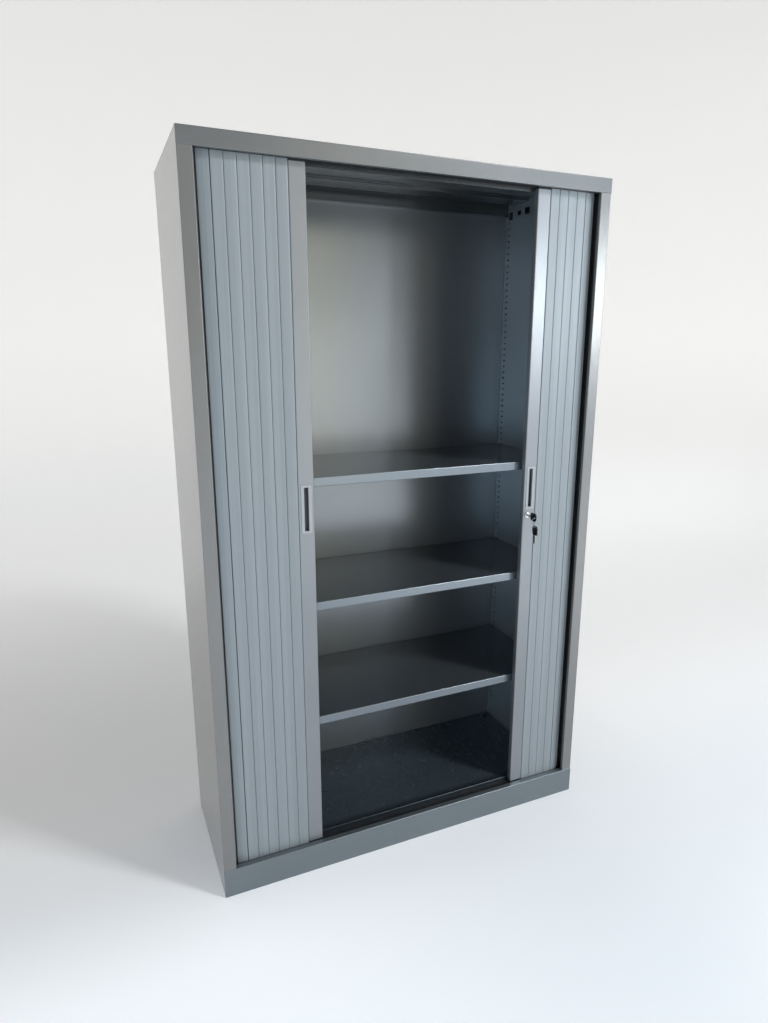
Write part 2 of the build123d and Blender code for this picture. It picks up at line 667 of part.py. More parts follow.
# ---- roll fronts; all are built as on the right, then mirrored for the left ----
def slat():
    """One hollow slat, its hinge edge from the origin along +X, its face at -Y."""
    x0 = SLAT_GAP / 2
    x1 = SLAT_PITCH - SLAT_GAP / 2
    face_y = -SLAT_THICK
    outline = [
        (x0, 0),
        (x1, 0),
        (x1, face_y + SLAT_CHAMFER),
        (x1 - SLAT_CHAMFER, face_y),
        (x0 + SLAT_CHAMFER, face_y),
        (x0, face_y + SLAT_CHAMFER),
    ]
    section = make_face(Polyline(*outline, close=True))
    cell = (x1 - x0 - 3 * SLAT_WALL) / 2
    deep = SLAT_THICK - 2 * SLAT_WALL
    for i in range(2):
        middle_x = x0 + SLAT_WALL + cell / 2 + i * (cell + SLAT_WALL)
        section -= Pos(middle_x, -SLAT_THICK / 2) * RectangleRounded(cell, deep, SLAT_CELL_CORNER)
    return extrude(section, amount=SLAT_TOP - SLAT_BOTTOM)


def hinge_line(visible):
    """Hinge points of a curtain, from the lead rail outwards, round the corner and back."""
    start = LAST_FLAT_X - visible * SLAT_PITCH
    points = [(start + i * SLAT_PITCH, HINGE_Y) for i in range(visible + 1)]
    parked = SLATS - 1 - visible
    corner_y = HINGE_Y + CORNER_RISE
    return points + [(POCKET_X, corner_y + i * SLAT_PITCH) for i in range(parked + 1)]


def curtain(visible):
    """The slats that show, and those in the corner and the pocket."""
    one = slat()
    points = hinge_line(visible)
    placed = []
    for (x, y), (next_x, next_y) in zip(points, points[1:]):
        turn = math.degrees(math.atan2(next_y - y, next_x - x))
        placed.append(Location((x, y, SLAT_BOTTOM), (0, 0, turn)) * one)
    return group(placed[:visible]), group(placed[visible:])


def lead_rail(inner_x):
    """Folded metal rail at the curtain's leading edge, with the window for the pull."""
    middle = LEAD_WALL / 2
    outer_x = inner_x + LEAD_WIDTH
    back = LEAD_BACK - middle
    points = [
        (inner_x + LEAD_HEM_INNER, back),
        (inner_x + middle, back),
        (inner_x + middle, SLAT_FRONT + middle),
        (outer_x - middle, SLAT_FRONT + middle),
        (outer_x - middle, back),
        (outer_x - LEAD_HEM_OUTER, back),
    ]
    rail = folded_upright(points, LEAD_BOTTOM, LEAD_TOP, LEAD_WALL, LEAD_BEND)
    half_width = PULL_SLOT_WIDTH / 2 + PULL_WALL + PULL_FIT
    half_length = PULL_SLOT_LENGTH / 2 + PULL_WALL + PULL_FIT
    x = inner_x + PULL_OFFSET
    return rail - block(
        x - half_width, x + half_width, SLAT_FRONT - OVER, SLAT_FRONT + LEAD_WALL + OVER,
        PULL_Z - half_length, PULL_Z + half_length,
    )


def hook_slot(x0, x1):
    """Cutter for the slot in a lead rail's inner wall, where the hook passes."""
    return block(
        x0, x1, HOOK_FRONT - HOOK_CLEARANCE, HOOK_BACK + HOOK_CLEARANCE / 2, HOOK_SLOT_LOW, HOOK_SLOT_HIGH
    )


def lead_glides(inner_x):
    """Plastic end plugs of a lead rail, with tongues that run in the tracks."""
    wall = LEAD_WALL + GLIDE_CLEARANCE
    x0 = inner_x + wall
    x1 = inner_x + LEAD_WIDTH - wall
    y0 = SLAT_FRONT + wall
    y1 = LEAD_BACK - wall
    inset = LEAD_BEND
    glides = []
    for flange, rail_end, tongue_end in (
        (GLIDE_BOTTOM, LEAD_BOTTOM, SLAT_BOTTOM),
        (GLIDE_TOP, LEAD_TOP, SLAT_TOP),
    ):
        into = math.copysign(GLIDE_PLUG, rail_end - flange)
        low, high = sorted((rail_end, rail_end + into))
        plug = block(x0, x1, y0, y1, low, high)
        plug = fillet(plug.edges().filter_by(Axis.Z), LEAD_BEND - GLIDE_CLEARANCE)
        low, high = sorted((flange, rail_end))
        cap = block(inner_x, inner_x + LEAD_WIDTH, SLAT_FRONT, LEAD_BACK, low, high)
        cap = fillet(cap.edges().filter_by(Axis.Z), LEAD_BEND)
        low, high = sorted((tongue_end, flange))
        tongue = block(x0 + inset, x1 - inset, SLAT_FRONT, HINGE_Y, low, high)
        glides.append(plug + cap + tongue)
    return group(glides)


def flush_pull(inner_x):
    """Plastic flush pull: a thin bezel and a finger slot behind it."""
    x = inner_x + PULL_OFFSET
    bezel = block(
        x - PULL_WIDTH / 2, x + PULL_WIDTH / 2, SLAT_FRONT - PULL_BEZEL, SLAT_FRONT,
        PULL_Z - PULL_LENGTH / 2, PULL_Z + PULL_LENGTH / 2,
    )
    bezel = fillet(bezel.edges().filter_by(Axis.Y), PULL_CORNER)
    bezel = fillet(bezel.faces().sort_by(Axis.Y)[0].edges(), PULL_EASE)
    half_width = PULL_SLOT_WIDTH / 2
    half_length = PULL_SLOT_LENGTH / 2
    slot_end = SLAT_FRONT - PULL_BEZEL + PULL_SLOT_DEPTH
    cup = block(
        x - half_width - PULL_WALL, x + half_width + PULL_WALL, SLAT_FRONT - PULL_BEZEL / 2,
        slot_end + PULL_WALL, PULL_Z - half_length - PULL_WALL, PULL_Z + half_length + PULL_WALL,
    )
    slot = block(
        x - half_width, x + half_width, SLAT_FRONT - PULL_BEZEL - OVER, slot_end,
        PULL_Z - half_length, PULL_Z + half_length,
    )
    slot = fillet(slot.edges().filter_by(Axis.Y), PULL_CORNER / 2)
    return bezel + cup - slot


def strike():
    """Steel strike behind the slot of the left lead rail, drawn as on the right."""
    x0 = LEFT_OPEN + LEAD_WALL
    low = HOOK_SLOT_LOW - STRIKE_MARGIN
    high = HOOK_SLOT_HIGH + STRIKE_MARGIN
    plate = block(x0, x0 + STRIKE_THICK, STRIKE_Y0, STRIKE_Y1, low, high)
    return plate - hook_slot(x0 - OVER, x0 + STRIKE_THICK + OVER)


def strike_screws():
    """Two screws that hold the strike to the left lead rail."""
    y = (STRIKE_Y0 + STRIKE_Y1) / 2
    end = LEFT_OPEN + LEAD_WALL + STRIKE_THICK
    screws = []
    for z in (HOOK_SLOT_LOW - STRIKE_MARGIN / 2, HOOK_SLOT_HIGH + STRIKE_MARGIN / 2):
        shank = bar_along_x(y, z, LEFT_OPEN, end, STRIKE_SCREW_RADIUS)
        screws.append(shank + bar_along_x(y, z, end, end + SCREW_HEAD_THICK, STRIKE_SCREW_HEAD))
    return screws


# ---- lock ----
def lock_body():
    """Lock barrel with its collar, bored for the plug."""
    body = bar_along_y(LOCK_X, LOCK_Z, COLLAR_FACE, SLAT_FRONT, LOCK_COLLAR_RADIUS)
    body = fillet(body.faces().sort_by(Axis.Y)[0].edges(), LOCK_COLLAR / 2)
    body += bar_along_y(LOCK_X, LOCK_Z, SLAT_FRONT - LOCK_COLLAR / 2, BARREL_END, LOCK_BARREL_RADIUS)
    bore = PLUG_RADIUS + PLUG_CLEARANCE
    return body - bar_along_y(LOCK_X, LOCK_Z, COLLAR_FACE - OVER, BARREL_END + OVER, bore)


def hex_nut(x, z, y0, y1, flats, bore):
    """A hexagon nut with its axis from front to back."""
    hexagon = RegularPolygon(flats / 2, 6, major_radius=False) - Circle(bore)
    plane = Plane(origin=(x, y0, z), x_dir=(1, 0, 0), z_dir=(0, 1, 0))
    return extrude(plane * hexagon, amount=y1 - y0)


def lock_nut():
    """Nut that clamps the lock behind the lead rail's face."""
    y0 = SLAT_FRONT + LEAD_WALL + SEAT
    return hex_nut(LOCK_X, LOCK_Z, y0, y0 + LOCK_NUT_THICK, LOCK_NUT_FLATS, LOCK_BARREL_RADIUS + SEAT)


def lock_plug():
    """Turning plug with its keyway and the square shank for the hook."""
    plug = bar_along_y(LOCK_X, LOCK_Z, PLUG_FACE, PLUG_END, PLUG_RADIUS)
    half = SHANK / 2
    plug += block(LOCK_X - half, LOCK_X + half, PLUG_END - OVER, HOOK_BACK, LOCK_Z - half, LOCK_Z + half)
    thick = KEY_BLADE_THICK / 2 + SEAT
    wide = KEY_BLADE_WIDTH / 2 + SEAT
    keyway_end = PLUG_FACE + KEY_INSERTED + KEYWAY_SPARE
    plug -= block(
        LOCK_X - thick, LOCK_X + thick, PLUG_FACE - OVER, keyway_end, LOCK_Z - wide, LOCK_Z + wide
    )
    return plug - bar_along_y(LOCK_X, LOCK_Z, HOOK_FRONT, HOOK_BACK + OVER, HOOK_SCREW_RADIUS + KEY_FIT)


def lock_hook():
    """Hook plate, hanging down while the lock is open, its claw towards the left door."""
    bar = Pos(0, -HOOK_REACH / 2) * Rectangle(2 * HOOK_HALF_WIDTH, HOOK_REACH)
    bar += Circle(HOOK_BOSS_RADIUS)
    bar = bar & Circle(HOOK_REACH)
    turn = math.radians(HOOK_CLAW_ANGLE)
    far = 2 * HOOK_REACH
    tip = (-far * math.sin(turn), -far * math.cos(turn))
    wedge = make_face(Polyline((0, 0), (0, -far), tip, close=True))
    claw = (Circle(HOOK_REACH) - Circle(HOOK_REACH - HOOK_CLAW)) & wedge
    plate = bar + claw - Rectangle(SHANK + 2 * SEAT, SHANK + 2 * SEAT)
    plane = Plane(origin=(LOCK_X, HOOK_BACK, LOCK_Z), x_dir=(1, 0, 0), z_dir=(0, -1, 0))
    return extrude(plane * plate, amount=HOOK_THICK)


def hook_screw():
    """Screw that holds the hook on the plug's shank."""
    end = HOOK_BACK + HOOK_SCREW_HEAD_THICK
    head = bar_along_y(LOCK_X, LOCK_Z, HOOK_BACK, end, HOOK_SCREW_HEAD)
    return head + bar_along_y(LOCK_X, LOCK_Z, HOOK_FRONT + HOOK_SEAT, end, HOOK_SCREW_RADIUS)


# ---- keys; each is drawn along +X from blade tip to eye, then placed ----
def key_blade():
    """Flat blade with bitting cuts and the tang inside the head."""
    length = KEY_INSERTED + KEY_EXPOSED
    half = KEY_BLADE_WIDTH / 2
    blade = Pos(-length / 2, 0) * Rectangle(length, KEY_BLADE_WIDTH)
    blade += Pos(KEY_TANG / 2, 0) * Rectangle(KEY_TANG, KEY_TANG_WIDTH)
    tip = Pos(-length, half) * Rot(0, 0, 45) * Rectangle(half, half)
    blade = blade - tip - mirror(tip, about=Plane.XZ)
    for i, cut in enumerate(KEY_CUTS):
        x = KEY_FIRST_CUT + KEY_CUT_PITCH * i - length
        flare = cut * KEY_CUT_FLARE
        blade -= Pos(x, half) * Rot(0, 0, 45) * Rectangle(flare, flare)
    return extrude(blade, amount=KEY_BLADE_THICK / 2, both=True)


def key_head():
    """Plastic head with the slot-shaped eye, hollow for the blade's tang."""
    half = KEY_HEAD_WIDTH / 2
    neck = KEY_HEAD_NECK / 2
    outline = [
        (0, -neck), (KEY_SHOULDER, -half), (KEY_HEAD_LENGTH, -half),
        (KEY_HEAD_LENGTH, half), (KEY_SHOULDER, half), (0, neck),
    ]
    face = make_face(Polyline(*outline, close=True))
    far = face.vertices().group_by(Axis.X)[-1]
    face = fillet(far, KEY_CORNER)
    near = face.vertices().group_by(Axis.X)[0]
    face = fillet(near, KEY_NECK_CORNER)
    eye = Pos(EYE_MIDDLE, 0) * RectangleRounded(KEY_EYE_WIDTH, KEY_EYE_LENGTH, KEY_EYE_WIDTH / 3)
    head = extrude(face - eye, amount=KEY_HEAD_THICK / 2, both=True)
    deep = KEY_TANG + KEY_FIT
    pocket = Pos(deep / 2, 0, 0) * Box(
        deep, KEY_TANG_WIDTH + 2 * KEY_FIT, KEY_BLADE_THICK + 2 * KEY_FIT
    )
    return head - pocket


def ring():
    """Wire ring that hangs in the first key's eye."""
    centre = (LOCK_X, RING_Y, LOCK_Z - RING_RADIUS)
    return Pos(*centre) * Rot(90, 0, 0) * Torus(RING_RADIUS, RING_WIRE)


KEY_PLACE = Plane(origin=(LOCK_X, KEY_HEAD_Y, LOCK_Z), x_dir=(0, -1, 0), z_dir=(1, 0, 0))
SPARE_PLACE = Plane(
    origin=(LOCK_X, RING_Y, SPARE_HEAD_TOP - KEY_HEAD_LENGTH), x_dir=(0, 0, 1), z_dir=(1, 0, 0)
)


# ---- shelves ----
def shelf_height(hole):
    """Top of a shelf whose clips sit in the given hole."""
    return HOLE_TOP_Z - hole * HOLE_PITCH + CLIP_DROP + SHELF_SIDE


def shelf(top):
    """Tray shelf with a deep front lip and plain side and rear flanges."""
    middle = SHEET / 2
    half = LINER_FACE - SHELF_SIDE_GAP
    y0 = FRONT + SHELF_SETBACK
    y1 = BACK_FACE - SHELF_BACK_GAP
    points = [
        (y0 + SHELF_RETURN, top - SHELF_LIP + middle),
        (y0 + middle, top - SHELF_LIP + middle),
        (y0 + middle, top - middle),
        (y1 - middle, top - middle),
        (y1 - middle, top - SHELF_LIP),
    ]
    tray = folded_across(points, -half, half)
    flange = block(half - SHEET, half, y0 + middle, y1 - middle, top - SHELF_SIDE, top - middle)
    return tray + flange + to_left(flange)


def shelf_clip(top, y):
    """Steel clip on the right liner: a ledge, a leg and a tongue in its slot."""
    face = LINER_FACE - SEAT
    ledge_z = top - SHELF_SIDE
    hole_z = ledge_z - CLIP_DROP
    leg_x = face - CLIP_LEG_THICK
    y0 = y - CLIP_WIDTH / 2
    y1 = y + CLIP_WIDTH / 2
    clip = block(leg_x, face, y0, y1, ledge_z - CLIP_LEG, ledge_z)
    clip += block(face - CLIP_REACH, face, y0, y1, ledge_z - CLIP_LEDGE, ledge_z)
    length = SLOT_LENGTH - 2 * CLIP_TONGUE_EASE
    radius = SLOT_RADIUS - CLIP_TONGUE_EASE
    return clip + rounded_tongue(y, hole_z, leg_x, face + CLIP_TONGUE_REACH, length, radius)


def shelf_clips():
    """Four clips for each shelf."""
    clips = []
    for hole in SHELF_HOLES:
        for y in (HOLE_FRONT_Y, HOLE_REAR_Y):
            clip = shelf_clip(shelf_height(hole), y)
            clips += [clip, to_left(clip)]
    return group(clips)


# ---- levelling feet ----
def leveller_bracket(x, y):
    """Top-hat bracket under the base pan that holds one levelling screw."""
    half = BRACKET_LENGTH / 2
    wide = BRACKET_WIDTH / 2
    top = PAN_TOP - SHEET
    z1 = BRACKET_Z + BRACKET_THICK
    bracket = block(x - half, x + half, y - wide, y + wide, BRACKET_Z, z1)
    for side in (-1, 1):
        leg = sorted((x + side * half, x + side * (half - BRACKET_THICK)))
        foot = sorted((x + side * half, x + side * (half + BRACKET_FLANGE)))
        bracket += block(leg[0], leg[1], y - wide, y + wide, BRACKET_Z, top)
        bracket += block(foot[0], foot[1], y - wide, y + wide, top - BRACKET_THICK, top)
    return bracket - round_bar(x, y, BRACKET_Z - OVER, z1 + OVER, FOOT_SCREW_RADIUS + HOLE_EASE)


def foot_nut(x, y, z0):
    """Nut on a levelling screw."""
    hexagon = RegularPolygon(FOOT_NUT_FLATS / 2, 6, major_radius=False) - Circle(FOOT_SCREW_RADIUS + SEAT)
    return Pos(x, y, z0) * extrude(hexagon, amount=FOOT_NUT_THICK)


def foot_pad(x, y):
    """Round foot with a socket for the screw."""
    pad = round_bar(x, y, 0, FOOT_PAD_HEIGHT, FOOT_PAD_RADIUS)
    pad = fillet(pad.faces().sort_by(Axis.Z)[-1].edges(), FOOT_PAD_ROUND)
    return pad - round_bar(x, y, FOOT_PAD_HEIGHT / 2, FOOT_PAD_HEIGHT + OVER, FOOT_SCREW_RADIUS + SEAT)


def foot_screw(x, y):
    """Levelling screw from the pad up through the bracket."""
    screw = round_bar(x, y, FOOT_PAD_HEIGHT / 2, FOOT_SCREW_TOP, FOOT_SCREW_RADIUS)
    half = FOOT_SLOT_LENGTH / 2
    wide = FOOT_SLOT_WIDTH / 2
    return screw - block(
        x - half, x + half, y - wide, y + wide, FOOT_SCREW_TOP - FOOT_SLOT_DEPTH, FOOT_SCREW_TOP + OVER
    )


# ---- small fixings ----
def liner_screws():
    """Screws through each liner's rear flange into the back panel."""
    x = LINER_OUTER + LINER_FLANGE / 2
    screws = []
    low = PAN_TOP + LINER_SCREW_END
    high = CEILING - LINER_SCREW_END
    for z in spread(low, high, LINER_SCREW_ROWS):
        y = BACK_FACE - SEAT - SHEET
        head = bar_along_y(x, z, y - SCREW_HEAD_THICK, y, SCREW_HEAD_RADIUS)
        screw = head + bar_along_y(x, z, y, BACK_FACE + SHEET + LINER_SCREW_PROUD, SCREW_RADIUS)
        screws += [screw, to_left(screw)]
    return screws


def back_rivets():
    """Rivets through the back panel into the header's flange."""
    z = RAIL_BOTTOM + HEADER_FLANGE / 2 + BEND / 2
    rivets = []
    half = LINER_FACE - RIVET_END
    for x in spread(-half, half, RIVET_COLUMNS):
        face = BACK_FACE + SHEET
        head = bar_along_y(x, z, face, face + RIVET_HEAD_THICK, RIVET_HEAD_RADIUS)
        rivets.append(head + bar_along_y(x, z, BACK_FACE - SHEET - RIVET_TAIL, face, RIVET_RADIUS))
    return rivets


def holes_for(pieces, low_y, high_y, radius):
    """Cutters for front-to-back fixings, at the pieces' own places."""
    cutters = []
    for piece in pieces:
        centre = piece.bounding_box().center()
        cutters.append(bar_along_y(centre.X, centre.Z, low_y, high_y, radius + HOLE_EASE))
    return cutters


def build():
    """Every node by name."""
    nodes = {}
    right_side = side_panel()
    nodes["side_panel_right"] = right_side
    nodes["side_panel_left"] = to_left(right_side)
    nodes["top_panel"] = top_panel()
    nodes["top_stiffener"] = top_stiffener()
    nodes["plinth_frame"] = plinth_frame()
    nodes["base_pan"] = base_pan()
    nodes["floor_panel"] = floor_panel()

    screws = liner_screws()
    rivets = back_rivets()
    ahead = BACK_FACE - SEAT - SHEET - OVER
    behind = BACK_FACE + SHEET + OVER
    back = back_panel() - holes_for(screws, ahead, behind, SCREW_RADIUS)
    nodes["back_panel"] = back - holes_for(rivets, ahead, behind, RIVET_RADIUS)
    nodes["header_rail"] = header() - holes_for(rivets, ahead, behind, RIVET_RADIUS)
    right_liner = liner() - holes_for(screws[::2], ahead, behind, SCREW_RADIUS)
    nodes["liner_right"] = right_liner
    nodes["liner_left"] = to_left(right_liner)
    nodes["liner_screws"] = group(screws)
    nodes["back_rivets"] = group(rivets)

    front, left, right = bottom_tracks()
    nodes["bottom_track_front"] = front
    nodes["bottom_track_left"] = left
    nodes["bottom_track_right"] = right
    front, left, right = top_tracks()
    nodes["top_track_front"] = front
    nodes["top_track_left"] = left
    nodes["top_track_right"] = right
    nodes["top_track_carrier"] = top_track_carrier()
    nodes["bottom_track_screws"] = track_screws(PAN_TOP + TRACK_FLOOR, -1)
    nodes["top_track_screws"] = track_screws(TOP_TRACK_TOP - TRACK_FLOOR, 1)
    nodes["pocket_stops"] = pocket_stops()

    for name, hole in zip(SHELF_NAMES, SHELF_HOLES):
        nodes[name] = shelf(shelf_height(hole))
    nodes["shelf_clips"] = shelf_clips()

    nodes["leveller_brackets"] = group([leveller_bracket(x, y) for x, y in FEET])
    nodes["leveller_nuts"] = group([foot_nut(x, y, BRACKET_Z - FOOT_NUT_THICK) for x, y in FEET])
    nodes["leveller_screws"] = group([foot_screw(x, y) for x, y in FEET])
    nodes["foot_pads"] = group([foot_pad(x, y) for x, y in FEET])

    plate_screws = strike_screws()
    rail = lead_rail(LEFT_OPEN) - hook_slot(LEFT_OPEN - OVER, LEFT_OPEN + LEAD_WALL + OVER)
    plate = strike()
    for screw in plate_screws:
        centre = screw.bounding_box().center()
        hole = bar_along_x(
            centre.Y, centre.Z, LEFT_OPEN - OVER, LEFT_OPEN + LEAD_WALL + STRIKE_THICK + OVER,
            STRIKE_SCREW_RADIUS + HOLE_EASE,
        )
        rail -= hole
        plate -= hole
    nodes["lead_rail_left"] = to_left(rail)
    nodes["lead_glides_left"] = to_left(lead_glides(LEFT_OPEN))
    nodes["flush_pull_left"] = to_left(flush_pull(LEFT_OPEN))
    nodes["lock_strike"] = to_left(plate)
    nodes["strike_screws"] = group([to_left(screw) for screw in plate_screws])
    shown, hidden = curtain(LEFT_SLATS)
    nodes["slats_left"] = group([to_left(shown)])
    nodes["pocket_slats_left"] = group([to_left(hidden)])

    rail = lead_rail(RIGHT_OPEN) - hook_slot(RIGHT_OPEN - OVER, RIGHT_OPEN + LEAD_WALL + OVER)
    rail -= bar_along_y(
        LOCK_X, LOCK_Z, SLAT_FRONT - OVER, SLAT_FRONT + LEAD_WALL + OVER, LOCK_BARREL_RADIUS + SEAT
    )
    nodes["lead_rail_right"] = rail
    nodes["lead_glides_right"] = lead_glides(RIGHT_OPEN)
    nodes["flush_pull_right"] = flush_pull(RIGHT_OPEN)
    shown, hidden = curtain(RIGHT_SLATS)
    nodes["slats_right"] = shown
    nodes["pocket_slats_right"] = hidden

    nodes["lock_body"] = lock_body()
    nodes["lock_nut"] = lock_nut()
    nodes["lock_plug"] = lock_plug()
    nodes["lock_hook"] = lock_hook()
    nodes["hook_screw"] = hook_screw()
    nodes["key_blade"] = Location(KEY_PLACE) * key_blade()
    nodes["key_head"] = Location(KEY_PLACE) * key_head()
    nodes["key_ring"] = ring()
    nodes["spare_key_blade"] = Location(SPARE_PLACE) * key_blade()
    nodes["spare_key_head"] = Location(SPARE_PLACE) * key_head()

    return nodes


def main():
    os.makedirs("parts", exist_ok=True)
    for name, shape in build().items():
        export_step(shape, f"parts/{name}.step")
    print("slats in each curtain:", SLATS, "shown left and right:", LEFT_SLATS, RIGHT_SLATS)
    print("doors open to:", LEFT_OPEN, RIGHT_OPEN)
    print("shelf tops:", [round(shelf_height(hole), 1) for hole in SHELF_HOLES])


main()
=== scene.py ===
# %% [markdown]
# # A roll-front steel cupboard
# The cupboard is folded sheet steel with two roll fronts of upright plastic slats. Each front slides
# sideways in a track, goes round the corner behind the stile and parks along the side wall.
# The steel parts come ready-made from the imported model. This lesson lights them, gives every part its
# finish, and models what a plain solid can't show: the slatted curtains and the moulded key heads.

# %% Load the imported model
import functools
import json
import math

import bmesh
import bpy
from mathutils import Matrix, Vector


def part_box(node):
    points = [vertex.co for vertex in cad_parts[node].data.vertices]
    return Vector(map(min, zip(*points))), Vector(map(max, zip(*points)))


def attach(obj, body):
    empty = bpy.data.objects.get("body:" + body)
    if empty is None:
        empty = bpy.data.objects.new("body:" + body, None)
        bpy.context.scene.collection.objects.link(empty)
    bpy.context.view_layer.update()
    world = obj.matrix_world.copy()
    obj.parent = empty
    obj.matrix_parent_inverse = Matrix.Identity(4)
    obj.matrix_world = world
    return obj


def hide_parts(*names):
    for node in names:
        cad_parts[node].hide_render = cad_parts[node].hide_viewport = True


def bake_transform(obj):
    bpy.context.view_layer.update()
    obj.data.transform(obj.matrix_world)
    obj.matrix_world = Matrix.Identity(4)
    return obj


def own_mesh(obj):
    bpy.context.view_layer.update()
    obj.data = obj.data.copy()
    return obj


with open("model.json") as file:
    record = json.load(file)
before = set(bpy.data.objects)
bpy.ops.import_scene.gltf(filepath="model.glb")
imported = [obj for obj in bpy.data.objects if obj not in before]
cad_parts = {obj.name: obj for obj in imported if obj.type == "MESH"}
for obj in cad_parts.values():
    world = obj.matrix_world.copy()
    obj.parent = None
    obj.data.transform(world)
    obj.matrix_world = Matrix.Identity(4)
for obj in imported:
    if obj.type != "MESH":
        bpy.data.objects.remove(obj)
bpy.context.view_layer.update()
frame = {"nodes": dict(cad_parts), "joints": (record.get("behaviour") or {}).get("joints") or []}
nodes = frame["nodes"]

# %% [markdown]
# ## The camera
# A camera needs three things: where it stands, where it looks and how wide it sees.
# It stands left of the cupboard at eye height and looks a little down and to the right. The focal
# length is worked out from the picture's proportions, so that no shift of the lens is needed.

# %% Camera
FOCAL_PIXELS = 671.437
PICTURE_HEIGHT = 1023
CAMERA_SPOT = (-0.83080, -1.86250, 1.50385)
CAMERA_TURN = -23.740  # degrees, to the right
CAMERA_DOWN = 13.443
CAMERA_ROLL = -0.0645
camera_data = bpy.data.cameras.new("studio_camera")
camera_data.sensor_width = 36.0
camera_data.lens = camera_data.sensor_width * FOCAL_PIXELS / PICTURE_HEIGHT
camera_data.clip_start = 0.05
camera_data.clip_end = 60.0
camera = bpy.data.objects.new("studio_camera", camera_data)
bpy.context.scene.collection.objects.link(camera)
turn = Matrix.Rotation(math.radians(CAMERA_TURN), 4, "Z")
tilt = Matrix.Rotation(math.radians(90.0 - CAMERA_DOWN), 4, "X")
roll = Matrix.Rotation(math.radians(CAMERA_ROLL), 4, "Z")
camera.matrix_world = Matrix.Translation(CAMERA_SPOT) @ turn @ tilt @ roll
bpy.context.scene.camera = camera
print("lens:", round(camera_data.lens, 2), "mm")

# %% [markdown]
# ## Modelling helpers
# Every new piece starts as a primitive and is shaped in edit mode. Operators act on whatever is
# selected, so each helper first clears the selection and then picks faces or edges by their place.

# %% Helpers
def edit(piece, kind="FACE"):
    """Enter edit mode on one piece with nothing selected."""
    bpy.ops.object.select_all(action="DESELECT")
    piece.select_set(True)
    bpy.context.view_layer.objects.active = piece
    bpy.ops.object.mode_set(mode="EDIT")
    bpy.ops.mesh.select_mode(type=kind)
    bpy.ops.mesh.select_all(action="DESELECT")


def done():
    """Leave edit mode."""
    bpy.ops.object.mode_set(mode="OBJECT")


def middle_of(part):
    return sum((v.co for v in part.verts), Vector()) / len(part.verts)


def pick_faces(piece, test):
    """Select the faces that pass a test on their middle and normal."""
    mesh = bmesh.from_edit_mesh(piece.data)
    for face in mesh.faces:
        face.select = bool(test(middle_of(face), face.normal))
    mesh.select_flush_mode()
    bmesh.update_edit_mesh(piece.data)


def pick_edges(piece, test):
    """Select the edges that pass a test on their middle and direction."""
    mesh = bmesh.from_edit_mesh(piece.data)
    for edge in mesh.edges:
        along = (edge.verts[1].co - edge.verts[0].co).normalized()
        edge.select = bool(test(middle_of(edge), along))
    mesh.select_flush_mode()
    bmesh.update_edit_mesh(piece.data)


def add_block(name, low, high):
    """A cube primitive stretched between two corners, its place held in its mesh."""
    bpy.ops.object.select_all(action="DESELECT")
    centre = [(a + b) / 2 for a, b in zip(low, high)]
    bpy.ops.mesh.primitive_cube_add(size=1, location=centre)
    piece = bpy.context.object
    piece.name = name
    piece.scale = [b - a for a, b in zip(low, high)]
    bpy.ops.object.transform_apply(location=True, rotation=True, scale=True)
    return piece


def join(name, pieces):
    """Join pieces into one object with a new name."""
    bpy.ops.object.select_all(action="DESELECT")
    for piece in pieces:
        piece.select_set(True)
    bpy.context.view_layer.objects.active = pieces[0]
    bpy.ops.object.join()
    pieces[0].name = name
    return pieces[0]


def copy_of(piece, name):
    """A copy with a mesh of its own."""
    twin = piece.copy()
    twin.data = piece.data.copy()
    twin.name = name
    bpy.context.scene.collection.objects.link(twin)
    return twin


def smooth(piece, angle=30.0):
    """Smooth shading that keeps edges sharper than the angle."""
    bpy.ops.object.select_all(action="DESELECT")
    piece.select_set(True)
    bpy.context.view_layer.objects.active = piece
    bpy.ops.object.shade_smooth_by_angle(angle=math.radians(angle))


# %% [markdown]
# ## The studio
# A photographer's cove is a floor that curves up into a wall with no corner, so that no horizon line
# shows. Here it is round, so it closes the view from every side. It starts as a filled circle whose rim
# is extruded up a quarter turn, one small step at a time, and then straight up. The lid that the
# extrusion leaves is deleted, so that the sky can shine in.

# %% Cove
COVE_RADIUS = 4.6
COVE_BEND = 1.6
COVE_TOP = 6.5
BEND_STEPS = 12
bpy.ops.object.select_all(action="DESELECT")
bpy.ops.mesh.primitive_circle_add(vertices=96, radius=COVE_RADIUS, fill_type="NGON")
cove = bpy.context.object
cove.name = "studio_cove"
edit(cove, "EDGE")
pick_edges(cove, lambda middle, along: middle.xy.length > COVE_RADIUS * 0.9)
radius, height = COVE_RADIUS, 0.0
for step in range(1, BEND_STEPS + 2):
    bend = math.pi / 2 * min(step, BEND_STEPS) / BEND_STEPS
    new_radius = COVE_RADIUS + COVE_BEND * math.sin(bend)
    new_height = COVE_BEND * (1 - math.cos(bend)) if step <= BEND_STEPS else COVE_TOP
    bpy.ops.mesh.extrude_region_move(TRANSFORM_OT_translate={"value": (0, 0, new_height - height)})
    share = new_radius / radius
    bpy.ops.transform.resize(value=(share, share, 1), center_override=(0, 0, new_height))
    radius, height = new_radius, new_height
bpy.ops.mesh.select_mode(type="FACE")
pick_faces(cove, lambda middle, normal: middle.z > COVE_TOP * 0.9)
bpy.ops.mesh.delete(type="FACE")
done()
smooth(cove, 60.0)
print("cove radius:", round(radius, 2), "height:", height)

# %% [markdown]
# ## The glow of the cove
# In a studio the floor and the wall have lamps of their own, so they are brighter in some places than
# in others. More lamps could do that here too, but each would need its own aim and spread. Here the
# cove's white finish glows by zones instead. Each zone has a colour and fades in along one or more axes,
# and the zones are added up. The glow lights the cupboard too and is mirrored in its paint. The zones are
# balanced for the view from the front: seen from the sides and behind, the wall has white patches.

